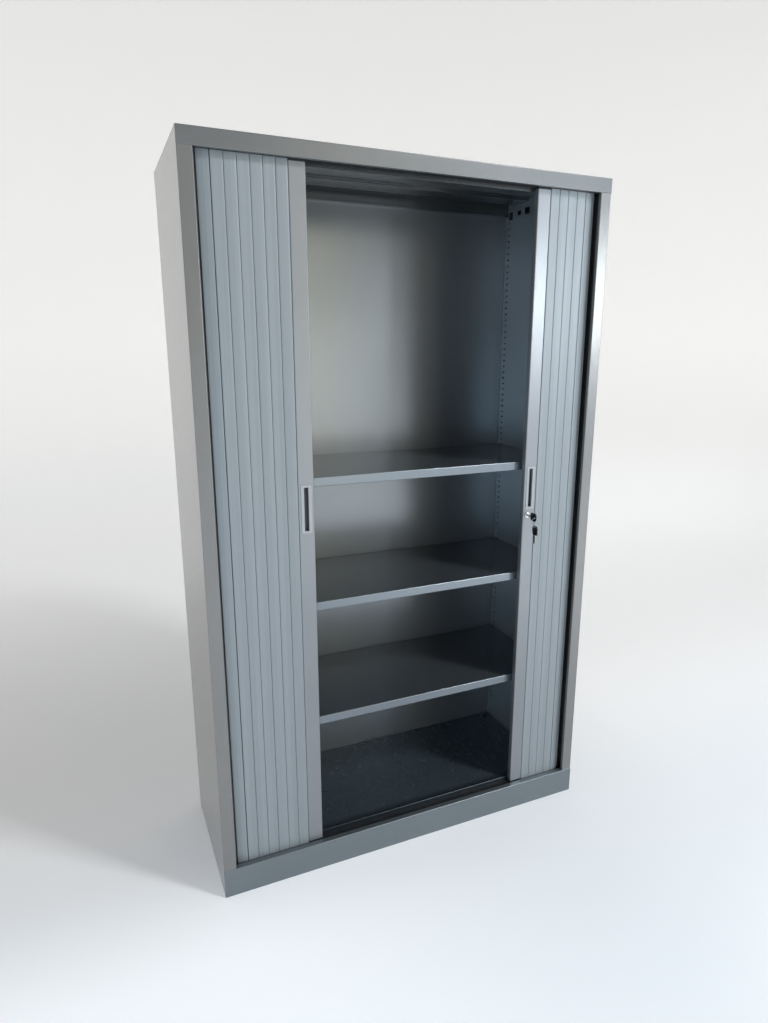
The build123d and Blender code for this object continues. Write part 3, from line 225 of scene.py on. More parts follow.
# %% Cove glow
cove_finish = bpy.data.materials.new("cove_white")
cove_finish.use_nodes = True
cove_nodes = cove_finish.node_tree
cove_surface = cove_nodes.nodes["Principled BSDF"]
cove_surface.inputs["Base Color"].default_value = (0.7, 0.7, 0.7, 1.0)
cove_surface.inputs["Roughness"].default_value = 0.9
cove_surface.inputs["Emission Strength"].default_value = 1.0
cove.data.materials.append(cove_finish)
cove_place = cove_nodes.nodes.new("ShaderNodeTexCoord")
cove_axes = cove_nodes.nodes.new("ShaderNodeSeparateXYZ")
cove_nodes.links.new(cove_place.outputs["Object"], cove_axes.inputs["Vector"])


def glow_zone(colour, **fades):
    """One zone's glow; each fade gives an axis, where the glow starts and where it is full."""
    source = cove_nodes.nodes.new("ShaderNodeRGB")
    source.outputs[0].default_value = (*colour, 1.0)
    glow = source.outputs[0]
    for axis, (start, full) in fades.items():
        fade = cove_nodes.nodes.new("ShaderNodeMapRange")
        fade.interpolation_type = "SMOOTHSTEP"
        for socket, value in zip(fade.inputs[1:5], (start, full, 0.0, 1.0)):
            socket.default_value = value
        cove_nodes.links.new(cove_axes.outputs[axis.upper()], fade.inputs["Value"])
        scaled = cove_nodes.nodes.new("ShaderNodeVectorMath")
        scaled.operation = "SCALE"
        cove_nodes.links.new(glow, scaled.inputs[0])
        cove_nodes.links.new(fade.outputs["Result"], scaled.inputs["Scale"])
        glow = scaled.outputs["Vector"]
    return glow


def add_glows(first, second):
    added = cove_nodes.nodes.new("ShaderNodeVectorMath")
    cove_nodes.links.new(first, added.inputs[0])
    cove_nodes.links.new(second, added.inputs[1])
    return added.outputs["Vector"]


glows = [
    glow_zone((0.135, 0.135, 0.136), y=(0.5, 3.0)),  # behind the cupboard, floor and wall
    glow_zone((0.19, 0.188, 0.186), z=(0.8, 0.0)),  # the whole floor
    glow_zone((0.235, 0.222, 0.207), y=(0.5, 3.0), z=(0.0, 0.8)),  # the wall behind
    glow_zone((0.03, 0.07, 0.12), y=(0.6, -1.0), z=(0.8, 0.0)),  # the floor in front, cool
    glow_zone((0.19, 0.19, 0.19), y=(0.0, -0.5), x=(0.6, -0.6), z=(0.8, 0.0)),  # floor, front left
    glow_zone((0.10, 0.10, 0.10), y=(-0.6, 0.3), x=(0.5, 1.3), z=(0.8, 0.0)),  # floor, right
    glow_zone((0.06, 0.06, 0.055), y=(-0.5, -3.0), x=(1.0, 0.0), z=(1.0, 3.0)),  # wall, front left
    glow_zone((0.66, 0.70, 0.71), y=(-0.5, -3.0), x=(0.0, 1.0), z=(3.0, 1.0)),  # low wall, front right
]
cove_glow = functools.reduce(add_glows, glows)
cove_nodes.links.new(cove_glow, cove_surface.inputs["Emission Color"])
print("glowing zones:", len(glows))

# %% [markdown]
# ## The light
# A strong soft lamp stands high on the right, in front of the cupboard, and throws the long shadow to
# the left. Two windows on the same side are mirrored in the right stile: a wide cool one and a small
# bright one. A narrow warm strip straight ahead draws the upright sheen on the back panel. Two weak
# lamps on the left fill the left side and reach under the shelves, and one lamp looks straight down on
# the floor beside the shadow. The sky adds a little, so nothing goes fully black.

# %% Lights
def soft_light(name, place, aim, width, height, power, colour, spread=180.0):
    """A rectangular soft light that points at a place and is never seen itself."""
    data = bpy.data.lights.new(name, "AREA")
    data.shape = "RECTANGLE"
    data.size = width
    data.size_y = height
    data.energy = power
    data.spread = math.radians(spread)
    data.color = colour
    lamp = bpy.data.objects.new(name, data)
    bpy.context.scene.collection.objects.link(lamp)
    lamp.location = place
    lamp.rotation_euler = (Vector(aim) - Vector(place)).to_track_quat("-Z", "Y").to_euler()
    lamp.visible_camera = False


soft_light("key", (2.9, -3.5, 4.7), (0.0, 0.0, 1.0), 0.8, 0.8, 165.0, (0.97, 0.99, 1.0))
soft_light("window_right", (3.4, -3.0, 2.2), (0.1, 0.0, 1.1), 2.6, 3.0, 9.0, (0.2, 0.5, 1.0))
soft_light("window_small", (2.72, -3.1, 1.9), (0.4, -0.2, 1.5), 1.0, 0.7, 30.0, (0.94, 1.0, 1.0))
soft_light("front_strip", (1.15, -4.2, 1.9), (0.0, 0.1, 1.2), 0.5, 3.0, 8.4, (1.0, 0.87, 0.5))
soft_light("front_left", (-2.2, -3.6, 2.8), (0.3, 0.0, 1.0), 1.8, 1.6, 5.5, (0.7, 0.83, 1.0))
soft_light("low_left", (-2.0, -3.0, 0.8), (0.3, 0.0, 0.8), 1.4, 1.0, 11.0, (0.58, 0.83, 1.0))
soft_light("floor_lift", (-1.9, -1.6, 2.5), (-1.9, -1.6, 0.0), 0.8, 0.8, 3.0, (1.0, 1.0, 1.0), 60.0)

world = bpy.data.worlds.new("studio_sky")
bpy.context.scene.world = world
world.use_nodes = True
sky = world.node_tree.nodes["Background"]
sky.inputs["Color"].default_value = (1.0, 1.0, 1.0, 1.0)
sky.inputs["Strength"].default_value = 0.1
bpy.context.scene.view_settings.view_transform = "Standard"

# %% [markdown]
# ## Building materials from nodes
# A material is a small network: patterns on the left, the surface shader on the right. These helpers
# add a node, wire it up and set its numbers, so each finish below reads as a short recipe. All patterns
# use object coordinates in metres, so a pattern has the same real size on every part.

# %% Material helpers
def add_node(material, kind, **settings):
    """Add a node; settings that name a socket set its value, and others set a property."""
    node = material.node_tree.nodes.new(kind)
    for key, value in settings.items():
        label = key.replace("_", " ")
        sockets = [s for s in node.inputs if s.name.lower() == label]
        if sockets:
            sockets[0].default_value = value
        else:
            setattr(node, key, value)
    return node


def wire(material, output, target):
    material.node_tree.links.new(output, target)


def new_finish(name, metallic=0.0):
    """An empty finish and its surface shader."""
    material = bpy.data.materials.new(name)
    material.use_nodes = True
    surface = material.node_tree.nodes["Principled BSDF"]
    surface.inputs["Metallic"].default_value = metallic
    return material, surface


def place(material, scale=(1.0, 1.0, 1.0)):
    """Object coordinates, stretched along the axes."""
    where = add_node(material, "ShaderNodeTexCoord")
    mapping = add_node(material, "ShaderNodeMapping", scale=scale)
    wire(material, where.outputs["Object"], mapping.inputs["Vector"])
    return mapping.outputs["Vector"]


def noise(material, vector, size, detail=2.0, roughness=0.5):
    """Cloudy noise whose blobs are about size metres across."""
    node = add_node(material, "ShaderNodeTexNoise", scale=1.0 / size, detail=detail, roughness=roughness)
    wire(material, vector, node.inputs["Vector"])
    return node.outputs["Fac"]


def remap(material, value, low, high, start=0.3, end=0.7):
    """Stretch a pattern between two numbers."""
    node = add_node(material, "ShaderNodeMapRange")
    for socket, number in zip(node.inputs[1:5], (start, end, low, high)):
        socket.default_value = number
    wire(material, value, node.inputs["Value"])
    return node.outputs["Result"]


def tones(material, value, *stops):
    """Colours along a pattern; each stop is a place from 0 to 1 and a colour."""
    ramp = add_node(material, "ShaderNodeValToRGB")
    points = ramp.color_ramp.elements
    while len(points) < len(stops):
        points.new(0.5)
    for point, (spot, colour) in zip(points, stops):
        point.position = spot
        point.color = (*colour, 1.0)
    wire(material, value, ramp.inputs["Fac"])
    return ramp.outputs["Color"]


def bump(material, height, distance, strength=1.0, under=None):
    """Turn a pattern into relief, distance metres deep."""
    node = add_node(material, "ShaderNodeBump", strength=strength, distance=distance)
    wire(material, height, node.inputs["Height"])
    if under is not None:
        wire(material, under, node.inputs["Normal"])
    return node.outputs["Normal"]


def shade_of(colour, share):
    return tuple(channel * share for channel in colour)


def wear(names, material):
    """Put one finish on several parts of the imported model."""
    for name in names:
        slots = nodes[name].data.materials
        slots.clear()
        slots.append(material)


# %% [markdown]
# ## Silver paint on steel
# The steel is coated in satin silver: tiny metal flakes in a clear binder. Seen close up the flakes
# twinkle and the coat has the faint waves painters call orange peel. Three layers do this: a fine
# sparkle of cells that tilts the surface, a slow ripple for the peel, and cloudy changes in roughness
# where the coat is thicker. A plain metal would be too mirror-like, so the coat is only part metallic.
# Inside the cupboard a trace of dust is mixed in. It stands for one paint, but the light on it differs from
# part to part, and a few lamps can't give all of that. So each group of parts has its own tone, fitted by
# measured brightness, which stands partly for the light: under other lamps the groups may look uneven.

# %% Paint
FLAKE_SIZE = 0.0006
FLAKE_SHARE = 0.35
FLAKE_RELIEF = 0.00001
PEEL_SIZE = 0.003
PEEL_RELIEF = 0.00003
CLOUD_SIZE = 0.35
GLOSS_SIZE = 0.02
DUST_SIZE = 0.05
DUST_COLOUR = (0.5, 0.5, 0.48, 1.0)
LACQUER_ROUGHNESS = 0.22


def silver_paint(name, colour, metallic, roughness, dust=0.0, coat=0.18):
    """Satin silver paint with flakes, orange peel and, inside the cupboard, a trace of dust."""
    material, surface = new_finish(name, metallic)
    surface.inputs["Coat Weight"].default_value = coat
    surface.inputs["Coat Roughness"].default_value = LACQUER_ROUGHNESS
    where = place(material)
    clouds = noise(material, where, CLOUD_SIZE, 3.0)
    flakes = add_node(material, "ShaderNodeTexVoronoi", scale=1.0 / FLAKE_SIZE)
    wire(material, where, flakes.inputs["Vector"])
    grain = add_node(material, "ShaderNodeSeparateColor")
    wire(material, flakes.outputs["Color"], grain.inputs["Color"])
    mixed = add_node(material, "ShaderNodeMath", operation="MULTIPLY_ADD")
    wire(material, grain.outputs[0], mixed.inputs[0])
    mixed.inputs[1].default_value = FLAKE_SHARE
    wire(material, clouds, mixed.inputs[2])
    body = tones(
        material, mixed.outputs["Value"],
        (0.3, shade_of(colour, 0.93)), (0.65, colour), (1.0, shade_of(colour, 1.09)),
    )
    if dust:
        settle = noise(material, place(material, (1.0, 1.0, 0.4)), DUST_SIZE, 6.0, 0.65)
        amount = remap(material, settle, 0.0, dust, 0.5, 0.75)
        mix = add_node(material, "ShaderNodeMix", data_type="RGBA")
        mix.inputs["B"].default_value = DUST_COLOUR
        wire(material, amount, mix.inputs["Factor"])
        wire(material, body, mix.inputs["A"])
        body = mix.outputs["Result"]
    wire(material, body, surface.inputs["Base Color"])
    gloss = remap(material, noise(material, where, GLOSS_SIZE, 4.0), roughness * 0.96, roughness * 1.05)
    wire(material, gloss, surface.inputs["Roughness"])
    peel = bump(material, noise(material, where, PEEL_SIZE, 2.0), PEEL_RELIEF, 0.5)
    relief = bump(material, grain.outputs[0], FLAKE_RELIEF, 0.12, peel)
    wire(material, relief, surface.inputs["Normal"])
    return material


# %% [markdown]
# ## Shaded depths
# A shelf's front lip is bright, while its top behind the lip lies in shade. The floor panel is the other
# way round: its front edge, beside the track, is its darkest place. These few lamps leave such places
# too bright, so the shade is painted on. One helper does both: it scales a finish's colour along the
# depth, from one place to another. Painted shade stays when the light changes, so it is used sparingly.

# %% Shade and painting
def shade_inside(material, start, end, share):
    """Darken a finish from one depth to another, to a share of its own colour."""
    surface = material.node_tree.nodes["Principled BSDF"]
    body = surface.inputs["Base Color"].links[0].from_socket
    axes = add_node(material, "ShaderNodeSeparateXYZ")
    wire(material, place(material), axes.inputs["Vector"])
    depth = remap(material, axes.outputs["Y"], 1.0, share, start, end)
    scaled = add_node(material, "ShaderNodeVectorMath", operation="SCALE")
    wire(material, body, scaled.inputs[0])
    wire(material, depth, scaled.inputs["Scale"])
    wire(material, scaled.outputs["Vector"], surface.inputs["Base Color"])


outer_paint = silver_paint("outer_paint", (0.160, 0.166, 0.169), 0.62, 0.36)
side_paint = silver_paint("side_paint", (0.192, 0.190, 0.188), 0.62, 0.32, coat=0.75)
inner_paint = silver_paint("inner_paint", (0.226, 0.243, 0.26), 0.66, 0.25, 0.02)
header_paint = silver_paint("header_paint", (0.09, 0.097, 0.104), 0.66, 0.26, 0.04)
shelf_paint = silver_paint("shelf_paint", (0.182, 0.208, 0.234), 0.66, 0.25, 0.02)
plinth_paint = silver_paint("plinth_paint", (0.172, 0.197, 0.215), 0.62, 0.36)
floor_paint = silver_paint("floor_paint", (0.095, 0.130, 0.158), 0.66, 0.28, 0.03)
liner_paint = silver_paint("liner_paint", (0.37, 0.43, 0.48), 0.66, 0.34, 0.04)
lead_paint = silver_paint("lead_rail_coat", (0.238, 0.25, 0.268), 0.60, 0.34)
shelf_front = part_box("shelf_top")[0].y
shade_inside(shelf_paint, shelf_front + 0.001, shelf_front + 0.006, 0.66)
floor_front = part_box("floor_panel")[0].y
shade_inside(floor_paint, floor_front + 0.030, floor_front + 0.004, 0.3)
wear(["top_panel"], outer_paint)
wear(["plinth_frame"], plinth_paint)
wear(["side_panel_left", "side_panel_right"], side_paint)
wear(["back_panel"], inner_paint)
wear(["shelf_top", "shelf_middle", "shelf_bottom"], shelf_paint)
wear(["header_rail", "top_stiffener", "top_track_carrier"], header_paint)
wear(["base_pan", "floor_panel"], floor_paint)
wear(["liner_left", "liner_right"], liner_paint)
wear(["lead_rail_left", "lead_rail_right"], lead_paint)
print("painted:", outer_paint.name, inner_paint.name, lead_paint.name)

# %% [markdown]
# ## Plastics and rubber
# Moulded plastic has a fine spark-eroded grain from its tool, and extruded plastic has draw lines along
# its length. Rubber is duller and picks up grey dust. One recipe covers all three, with a different
# grain, stretch and gloss for each. The pulls are pale cups whose inside has its shade painted on too.

# %% Plastics
def moulded(name, colour, roughness, grain=0.0006, depth=0.00003, stretch=(1.0, 1.0, 1.0), tint=0.12):
    """Plastic or rubber with a fine grain and slightly uneven gloss."""
    material, surface = new_finish(name)
    where = place(material, stretch)
    fine = noise(material, where, grain, 3.0)
    clouds = noise(material, place(material), 0.03, 3.0)
    body = tones(
        material, clouds, (0.3, shade_of(colour, 1 - tint)), (0.55, colour), (0.8, shade_of(colour, 1 + tint))
    )
    wire(material, body, surface.inputs["Base Color"])
    wire(material, remap(material, clouds, roughness - 0.05, roughness + 0.06), surface.inputs["Roughness"])
    wire(material, bump(material, fine, depth, 0.7), surface.inputs["Normal"])
    return material


track_plastic = moulded("black_track_plastic", (0.018, 0.02, 0.023), 0.42, 0.0009, 0.00004, tint=0.3)
pull_plastic = moulded("pull_plastic", (0.33, 0.35, 0.37), 0.40, 0.0005, 0.00002, tint=0.05)
pull_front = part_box("flush_pull_left")[0].y
shade_inside(pull_plastic, pull_front + 0.002, pull_front + 0.008, 0.22)
key_plastic = moulded("key_head_plastic", (0.012, 0.013, 0.016), 0.22, 0.0012, 0.00001, tint=0.2)
rubber = moulded("foot_rubber", (0.03, 0.03, 0.031), 0.75, 0.0008, 0.00006, tint=0.35)
wear(
    ["bottom_track_front", "bottom_track_left", "bottom_track_right", "top_track_front", "top_track_left",
     "top_track_right", "lead_glides_left", "lead_glides_right"],
    track_plastic,
)
wear(["flush_pull_left", "flush_pull_right"], pull_plastic)
wear(["key_head", "spare_key_head"], key_plastic)
wear(["foot_pads", "pocket_stops"], rubber)
print("plastics:", track_plastic.name, pull_plastic.name, key_plastic.name, rubber.name)

# %% [markdown]
# ## Bare metals
# Zinc plate is bright but slightly cloudy, with small crystals; chrome on the lock is a mirror with
# hair-fine wipe marks; the keys are nickel, brushed along the blade. All are fully metallic, and what
# tells them apart is the roughness pattern.

# %% Metals
def plated(name, colour, roughness, spread=0.08, stretch=(1.0, 1.0, 1.0), size=0.002, depth=0.00001):
    """Plated metal with an uneven shine."""
    material, surface = new_finish(name, 1.0)
    where = place(material, stretch)
    pattern = noise(material, where, size, 4.0, 0.6)
    body = tones(material, pattern, (0.3, shade_of(colour, 0.85)), (0.7, colour))
    wire(material, body, surface.inputs["Base Color"])
    wire(material, remap(material, pattern, roughness, roughness + spread), surface.inputs["Roughness"])
    wire(material, bump(material, pattern, depth, 0.5), surface.inputs["Normal"])
    return material


zinc = plated("zinc_plate", (0.62, 0.64, 0.66), 0.28, 0.14, size=0.003)
chrome = plated("lock_chrome", (0.60, 0.61, 0.62), 0.10, 0.06, size=0.0008)
nickel = plated("key_nickel", (0.42, 0.41, 0.39), 0.28, 0.12, (1.0, 1.0, 0.08), 0.0006)
wear(
    ["liner_screws", "back_rivets", "bottom_track_screws", "top_track_screws", "shelf_clips",
     "leveller_brackets", "leveller_nuts", "leveller_screws", "lock_strike", "strike_screws", "lock_nut",
     "lock_hook", "hook_screw"],
    zinc,
)
wear(["lock_body", "lock_plug"], chrome)
wear(["key_blade", "spare_key_blade", "key_ring"], nickel)
print("metals:", zinc.name, chrome.name, nickel.name)

# %% [markdown]
# ## Slat plastic
# The slats are extruded, so fine draw lines run their whole length, and each slat differs a little in tone,
# at random. The pattern has to stay with its slat when a curtain slides, so every slat carries an attribute
# that says where it lies in the flat curtain, and the finish reads that instead of the place in the room.

# %% Slat finish
SLAT_PITCH = 0.030
SLAT_COLOUR = (0.235, 0.262, 0.283)
# share of a random tone for each slat
SLAT_TONE_SHARE = 0.45
DRAW_LINE_SIZE = 0.0035
DRAW_LINE_STRETCH = 0.004
DRAW_LINE_RELIEF = 0.00012
slat_finish, slat_surface = new_finish("slat_plastic", 0.25)
lay = add_node(slat_finish, "ShaderNodeAttribute", attribute_name="lay")
apart = add_node(slat_finish, "ShaderNodeSeparateXYZ")
wire(slat_finish, lay.outputs["Vector"], apart.inputs["Vector"])
count = add_node(slat_finish, "ShaderNodeMath", operation="DIVIDE")
count.inputs[1].default_value = SLAT_PITCH
wire(slat_finish, apart.outputs["X"], count.inputs[0])
number = add_node(slat_finish, "ShaderNodeMath", operation="FLOOR")
wire(slat_finish, count.outputs["Value"], number.inputs[0])
# a random tone for each slat, picked by its number
slat_tone_pick = add_node(slat_finish, "ShaderNodeTexWhiteNoise", noise_dimensions="1D")
wire(slat_finish, number.outputs["Value"], slat_tone_pick.inputs["W"])
lines_map = add_node(slat_finish, "ShaderNodeMapping", scale=(1.0, 1.0, DRAW_LINE_STRETCH))
wire(slat_finish, lay.outputs["Vector"], lines_map.inputs["Vector"])
draw_lines = noise(slat_finish, lines_map.outputs["Vector"], DRAW_LINE_SIZE, 3.0, 0.6)
blend_tone = add_node(slat_finish, "ShaderNodeMath", operation="MULTIPLY_ADD")
wire(slat_finish, slat_tone_pick.outputs["Value"], blend_tone.inputs[0])
blend_tone.inputs[1].default_value = SLAT_TONE_SHARE
wire(slat_finish, draw_lines, blend_tone.inputs[2])
slat_tone = tones(
    slat_finish, blend_tone.outputs["Value"],
    (0.3, shade_of(SLAT_COLOUR, 0.92)), (0.7, SLAT_COLOUR), (1.0, shade_of(SLAT_COLOUR, 1.08)),
)
wire(slat_finish, slat_tone, slat_surface.inputs["Base Color"])
wire(slat_finish, remap(slat_finish, draw_lines, 0.36, 0.48), slat_surface.inputs["Roughness"])
wire(slat_finish, bump(slat_finish, draw_lines, DRAW_LINE_RELIEF, 0.5), slat_surface.inputs["Normal"])

web_finish = moulded("hinge_web_plastic", (0.03, 0.033, 0.036), 0.5, 0.001, 0.00003, (1.0, 1.0, 0.02), 0.2)
print("slat finish:", slat_finish.name, "pitch:", SLAT_PITCH)

# %% [markdown]
# ## One slat
# A slat is a hollow strip 30 mm wide with eased front edges. A rounded edge is what catches the light
# beside each dark groove, so the two long front edges are bevelled in three steps. Its face has two
# flutes too shallow to see as shapes, which still break up the reflections. They are made by bisecting
# the strip and pushing the middle of each band back a few hundredths of a millimetre.

# %% Slat
SLAT_GAP = 0.0009
SLAT_THICK = 0.007
SLAT_LOW, SLAT_HIGH = (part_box("slats_right")[i].z for i in (0, 1))
HINGE_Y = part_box("slats_right")[1].y
FLUTES = (0.3, 0.7)
FLUTE_HALF = 0.0016
FLUTE_DEEP = 0.00003
SLAT_EASE = 0.0006


def model_slat():
    """One slat with its hinge edge along X from the origin and its face towards -Y."""
    piece = add_block(
        "slat", (SLAT_GAP / 2, -SLAT_THICK, SLAT_LOW), (SLAT_PITCH - SLAT_GAP / 2, 0.0, SLAT_HIGH)
    )
    edit(piece, "EDGE")
    pick_edges(piece, lambda middle, along: abs(along.z) > 0.9 and middle.y < -SLAT_THICK / 2)
    bpy.ops.mesh.bevel(offset=SLAT_EASE, segments=3, profile=0.5)
    for flute in FLUTES:
        for side in (-1, 0, 1):
            bpy.ops.mesh.select_all(action="SELECT")
            spot = SLAT_PITCH * flute + side * FLUTE_HALF
            bpy.ops.mesh.bisect(plane_co=(spot, 0, 0), plane_no=(1, 0, 0))
    pick_edges(
        piece,
        lambda middle, along: abs(along.z) > 0.9 and middle.y < -SLAT_THICK * 0.9
        and min(abs(middle.x - SLAT_PITCH * flute) for flute in FLUTES) < 0.0001,
    )
    bpy.ops.transform.translate(value=(0, FLUTE_DEEP, 0))
    done()
    return piece


slat = model_slat()
print("slat faces:", len(slat.data.polygons), "length:", round(SLAT_HIGH - SLAT_LOW, 3))

# %% [markdown]
# ## Laying the slats out
# A curtain is the same slat over and over. Each copy is moved in its mesh, gets the attribute that
# tells its place in the flat curtain, and then all copies are joined. The left curtain is the mirror of
# the right one; mirroring turns faces inside out, so its normals are worked out again.

# %% Curtain helpers
def mark_lay(piece, shift):
    """Write each point's place in the flat curtain, shift metres along."""
    data = piece.data.attributes.new("lay", "FLOAT_VECTOR", "POINT")
    for point, vertex in zip(data.data, piece.data.vertices):
        point.vector = (vertex.co.x + shift, vertex.co.y, vertex.co.z)


def row_of_slats(name, spots):
    """Slats joined into one piece; each spot is a matrix and its place in the flat curtain."""
    row = []
    for matrix, shift in spots:
        one = copy_of(slat, "slat_copy")
        mark_lay(one, shift)
        one.data.transform(matrix)
        row.append(one)
    return join(name, row)


def mirror_to_left(piece):
    """Flip a piece to the left side, in its mesh, with its normals put right."""
    piece.data.transform(Matrix.Scale(-1, 4, (1, 0, 0)))
    edit(piece)
    bpy.ops.mesh.select_all(action="SELECT")
    bpy.ops.mesh.normals_make_consistent(inside=False)
    done()


def finish_with(piece, *finishes):
    piece.data.materials.clear()
    for finish in finishes:
        piece.data.materials.append(finish)


RIGHT_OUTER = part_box("slats_right")[1].x + SLAT_GAP / 2
LEFT_OUTER = -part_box("slats_left")[0].x + SLAT_GAP / 2
RIGHT_SHOWN = round((RIGHT_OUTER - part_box("slats_right")[0].x) / SLAT_PITCH)
LEFT_SHOWN = round((LEFT_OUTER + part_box("slats_left")[1].x) / SLAT_PITCH)
print("slats that show:", LEFT_SHOWN, "left and", RIGHT_SHOWN, "right")

# %% [markdown]
# ## The slats that show
# These ride on their doors, all but the slat beside the stile, which is already turning into the
# corner. Behind them runs the hinge web, a thin dark skin that joins the slats and closes the gaps
# between them, so that no light comes through from inside.

# %% Visible curtains
WEB_BACK = 0.0006
WEB_THICK = 0.0007
WEB_INSET = 0.001  # its sides and ends inside the slats'


def visible_curtain(shown, outer):
    """Slats in the flat front of a curtain, drawn as on the right."""
    first = outer - shown * SLAT_PITCH
    places = [first + i * SLAT_PITCH for i in range(shown)]
    spots = [(Matrix.Translation((x, HINGE_Y, 0)), x) for x in places]
    row = row_of_slats("slats", spots)
    web = add_block(
        "web",
        (first + WEB_INSET, HINGE_Y - WEB_BACK - WEB_THICK, SLAT_LOW + WEB_INSET),
        (outer - WEB_INSET, HINGE_Y - WEB_BACK, SLAT_HIGH - WEB_INSET),
    )
    return row, web


for side, shown, outer in (("right", RIGHT_SHOWN, RIGHT_OUTER), ("left", LEFT_SHOWN, LEFT_OUTER)):
    row, web = visible_curtain(shown - 1, outer - SLAT_PITCH)
    row.name, web.name = f"curtain_slats_{side}", f"curtain_web_{side}"
    if side == "left":
        mirror_to_left(row)
        mirror_to_left(web)
    finish_with(row, slat_finish)
    finish_with(web, web_finish)
    smooth(row)
    for piece in (row, web):
        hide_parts(f"slats_{side}")
        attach(piece, f"door_{side}")
    print(row.name, "faces:", len(row.data.polygons))

# %% [markdown]
# ## The slats in the corner and the pocket
# Behind the stile the curtain turns the corner and parks along the side wall. The imported model only
# slides its doors in a straight line, so the hidden part of the curtain is made of three pieces. Two
# slats in the corner stay put: the first has just begun to turn, the second stands across the corner.
# The parked slats lie along the side wall. A third set waits folded up inside the last slat of the door.

# %% Corner and pocket
POCKET_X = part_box("pocket_slats_right")[1].x - SLAT_THICK
CORNER_START = POCKET_X - RIGHT_OUTER
FIRST_TURN = 0.0050
CORNER_RISE = math.sqrt(SLAT_PITCH**2 - CORNER_START**2)
TRAVEL = {j["name"]: abs(j["range_m"][1] - j["range_m"][0]) for j in frame["joints"] if j["type"] == "slide"}
PARKED = {
    side: round((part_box(f"pocket_slats_{side}")[1].y - HINGE_Y - CORNER_RISE) / SLAT_PITCH)
    for side in ("left", "right")
}


def parked_curtain(count):
    """The slats along the side wall, drawn as on the right."""
    spots = []
    for i in range(count):
        low_y = HINGE_Y + CORNER_RISE + i * SLAT_PITCH
        upright = Matrix.Translation((POCKET_X, low_y, 0)) @ Matrix.Rotation(math.pi / 2, 4, "Z")
        spots.append((upright, RIGHT_OUTER + (i + 1) * SLAT_PITCH))
    return row_of_slats("parked", spots)


def corner_slats():
    """The slat that begins to turn and the one that stands across the corner."""
    first_x = RIGHT_OUTER - SLAT_PITCH
    begin = math.asin(FIRST_TURN / SLAT_PITCH)
    joint_x = first_x + SLAT_PITCH * math.cos(begin)
    joint_y = HINGE_Y + FIRST_TURN
    rise = HINGE_Y + CORNER_RISE - joint_y
    across = math.atan2(rise, POCKET_X - joint_x)
    shorter = math.hypot(rise, POCKET_X - joint_x) / SLAT_PITCH
    first = Matrix.Translation((first_x, HINGE_Y, 0)) @ Matrix.Rotation(begin, 4, "Z")
    second = (
        Matrix.Translation((joint_x, joint_y, 0)) @ Matrix.Rotation(across, 4, "Z")
        @ Matrix.Diagonal((shorter, 1, 1, 1))
    )
    return row_of_slats("corner", [(first, first_x), (second, RIGHT_OUTER)])


print("corner slat rises", round(CORNER_RISE, 4), "parked:", PARKED, "travel:", TRAVEL)

# %% [markdown]
# ## Drawing the curtain out
# The folded set is modelled flat, as it lies with the door closed. Each point is then moved to where it waits
# with the door open. The waiting place assumes that a point moves by a smooth share of the door's travel, and
# it is found by solving that curve backwards, by halving an interval until it fits.

# %% Emerging slats
FOLD = 0.025
THIN_SHARE = 0.82
END_SHORT = 0.0006
FOLDED_FORWARD = 0.0005  # keeps the folded set off the back of the slat it waits in
FILLER_LAP = 0.001  # over the drawn-out web
FILLER_LAP_STILE = 0.002  # towards the stile


def waiting_place(flat_x, start_x, travel):
    """Where a point of the closed curtain waits, folded up, with the door open."""
    low, high = 0.0, 1.0
    for _ in range(40):
        t = (low + high) / 2
        moved = t * FOLD + travel * t * t * (3 - 2 * t)
        low, high = (t, high) if moved < start_x - flat_x else (low, t)
    return start_x - low * FOLD


def emerging_curtain(travel):
    """Slats and web between the last slat that shows and the stile, with the door closed."""
    edge = RIGHT_OUTER - SLAT_PITCH - travel
    number = int(travel / SLAT_PITCH)
    start_x = edge + number * SLAT_PITCH
    middle_z = (SLAT_LOW + SLAT_HIGH) / 2
    shorter = 1 - 2 * END_SHORT / (SLAT_HIGH - SLAT_LOW)
    thin = (
        Matrix.Translation((0, HINGE_Y - FOLDED_FORWARD, middle_z))
        @ Matrix.Diagonal((1, THIN_SHARE, shorter, 1))
        @ Matrix.Translation((0, 0, -middle_z))
    )
    spots = []
    webs = []
    for i in range(number):
        x = edge + i * SLAT_PITCH
        spots.append((Matrix.Translation((x, 0, 0)) @ thin, x + travel))
        webs.append(
            add_block(
                "web_part",
                (x, HINGE_Y - WEB_BACK - WEB_THICK, SLAT_LOW + WEB_INSET),
                (x + SLAT_PITCH, HINGE_Y - WEB_BACK, SLAT_HIGH - WEB_INSET),
            )
        )
    slats = row_of_slats("emerging", spots)
    web = join("emerging_web", webs)
    for piece in (slats, web):
        for vertex in piece.data.vertices:
            vertex.co.x = waiting_place(min(vertex.co.x, start_x), start_x, travel)
    return slats, web, start_x


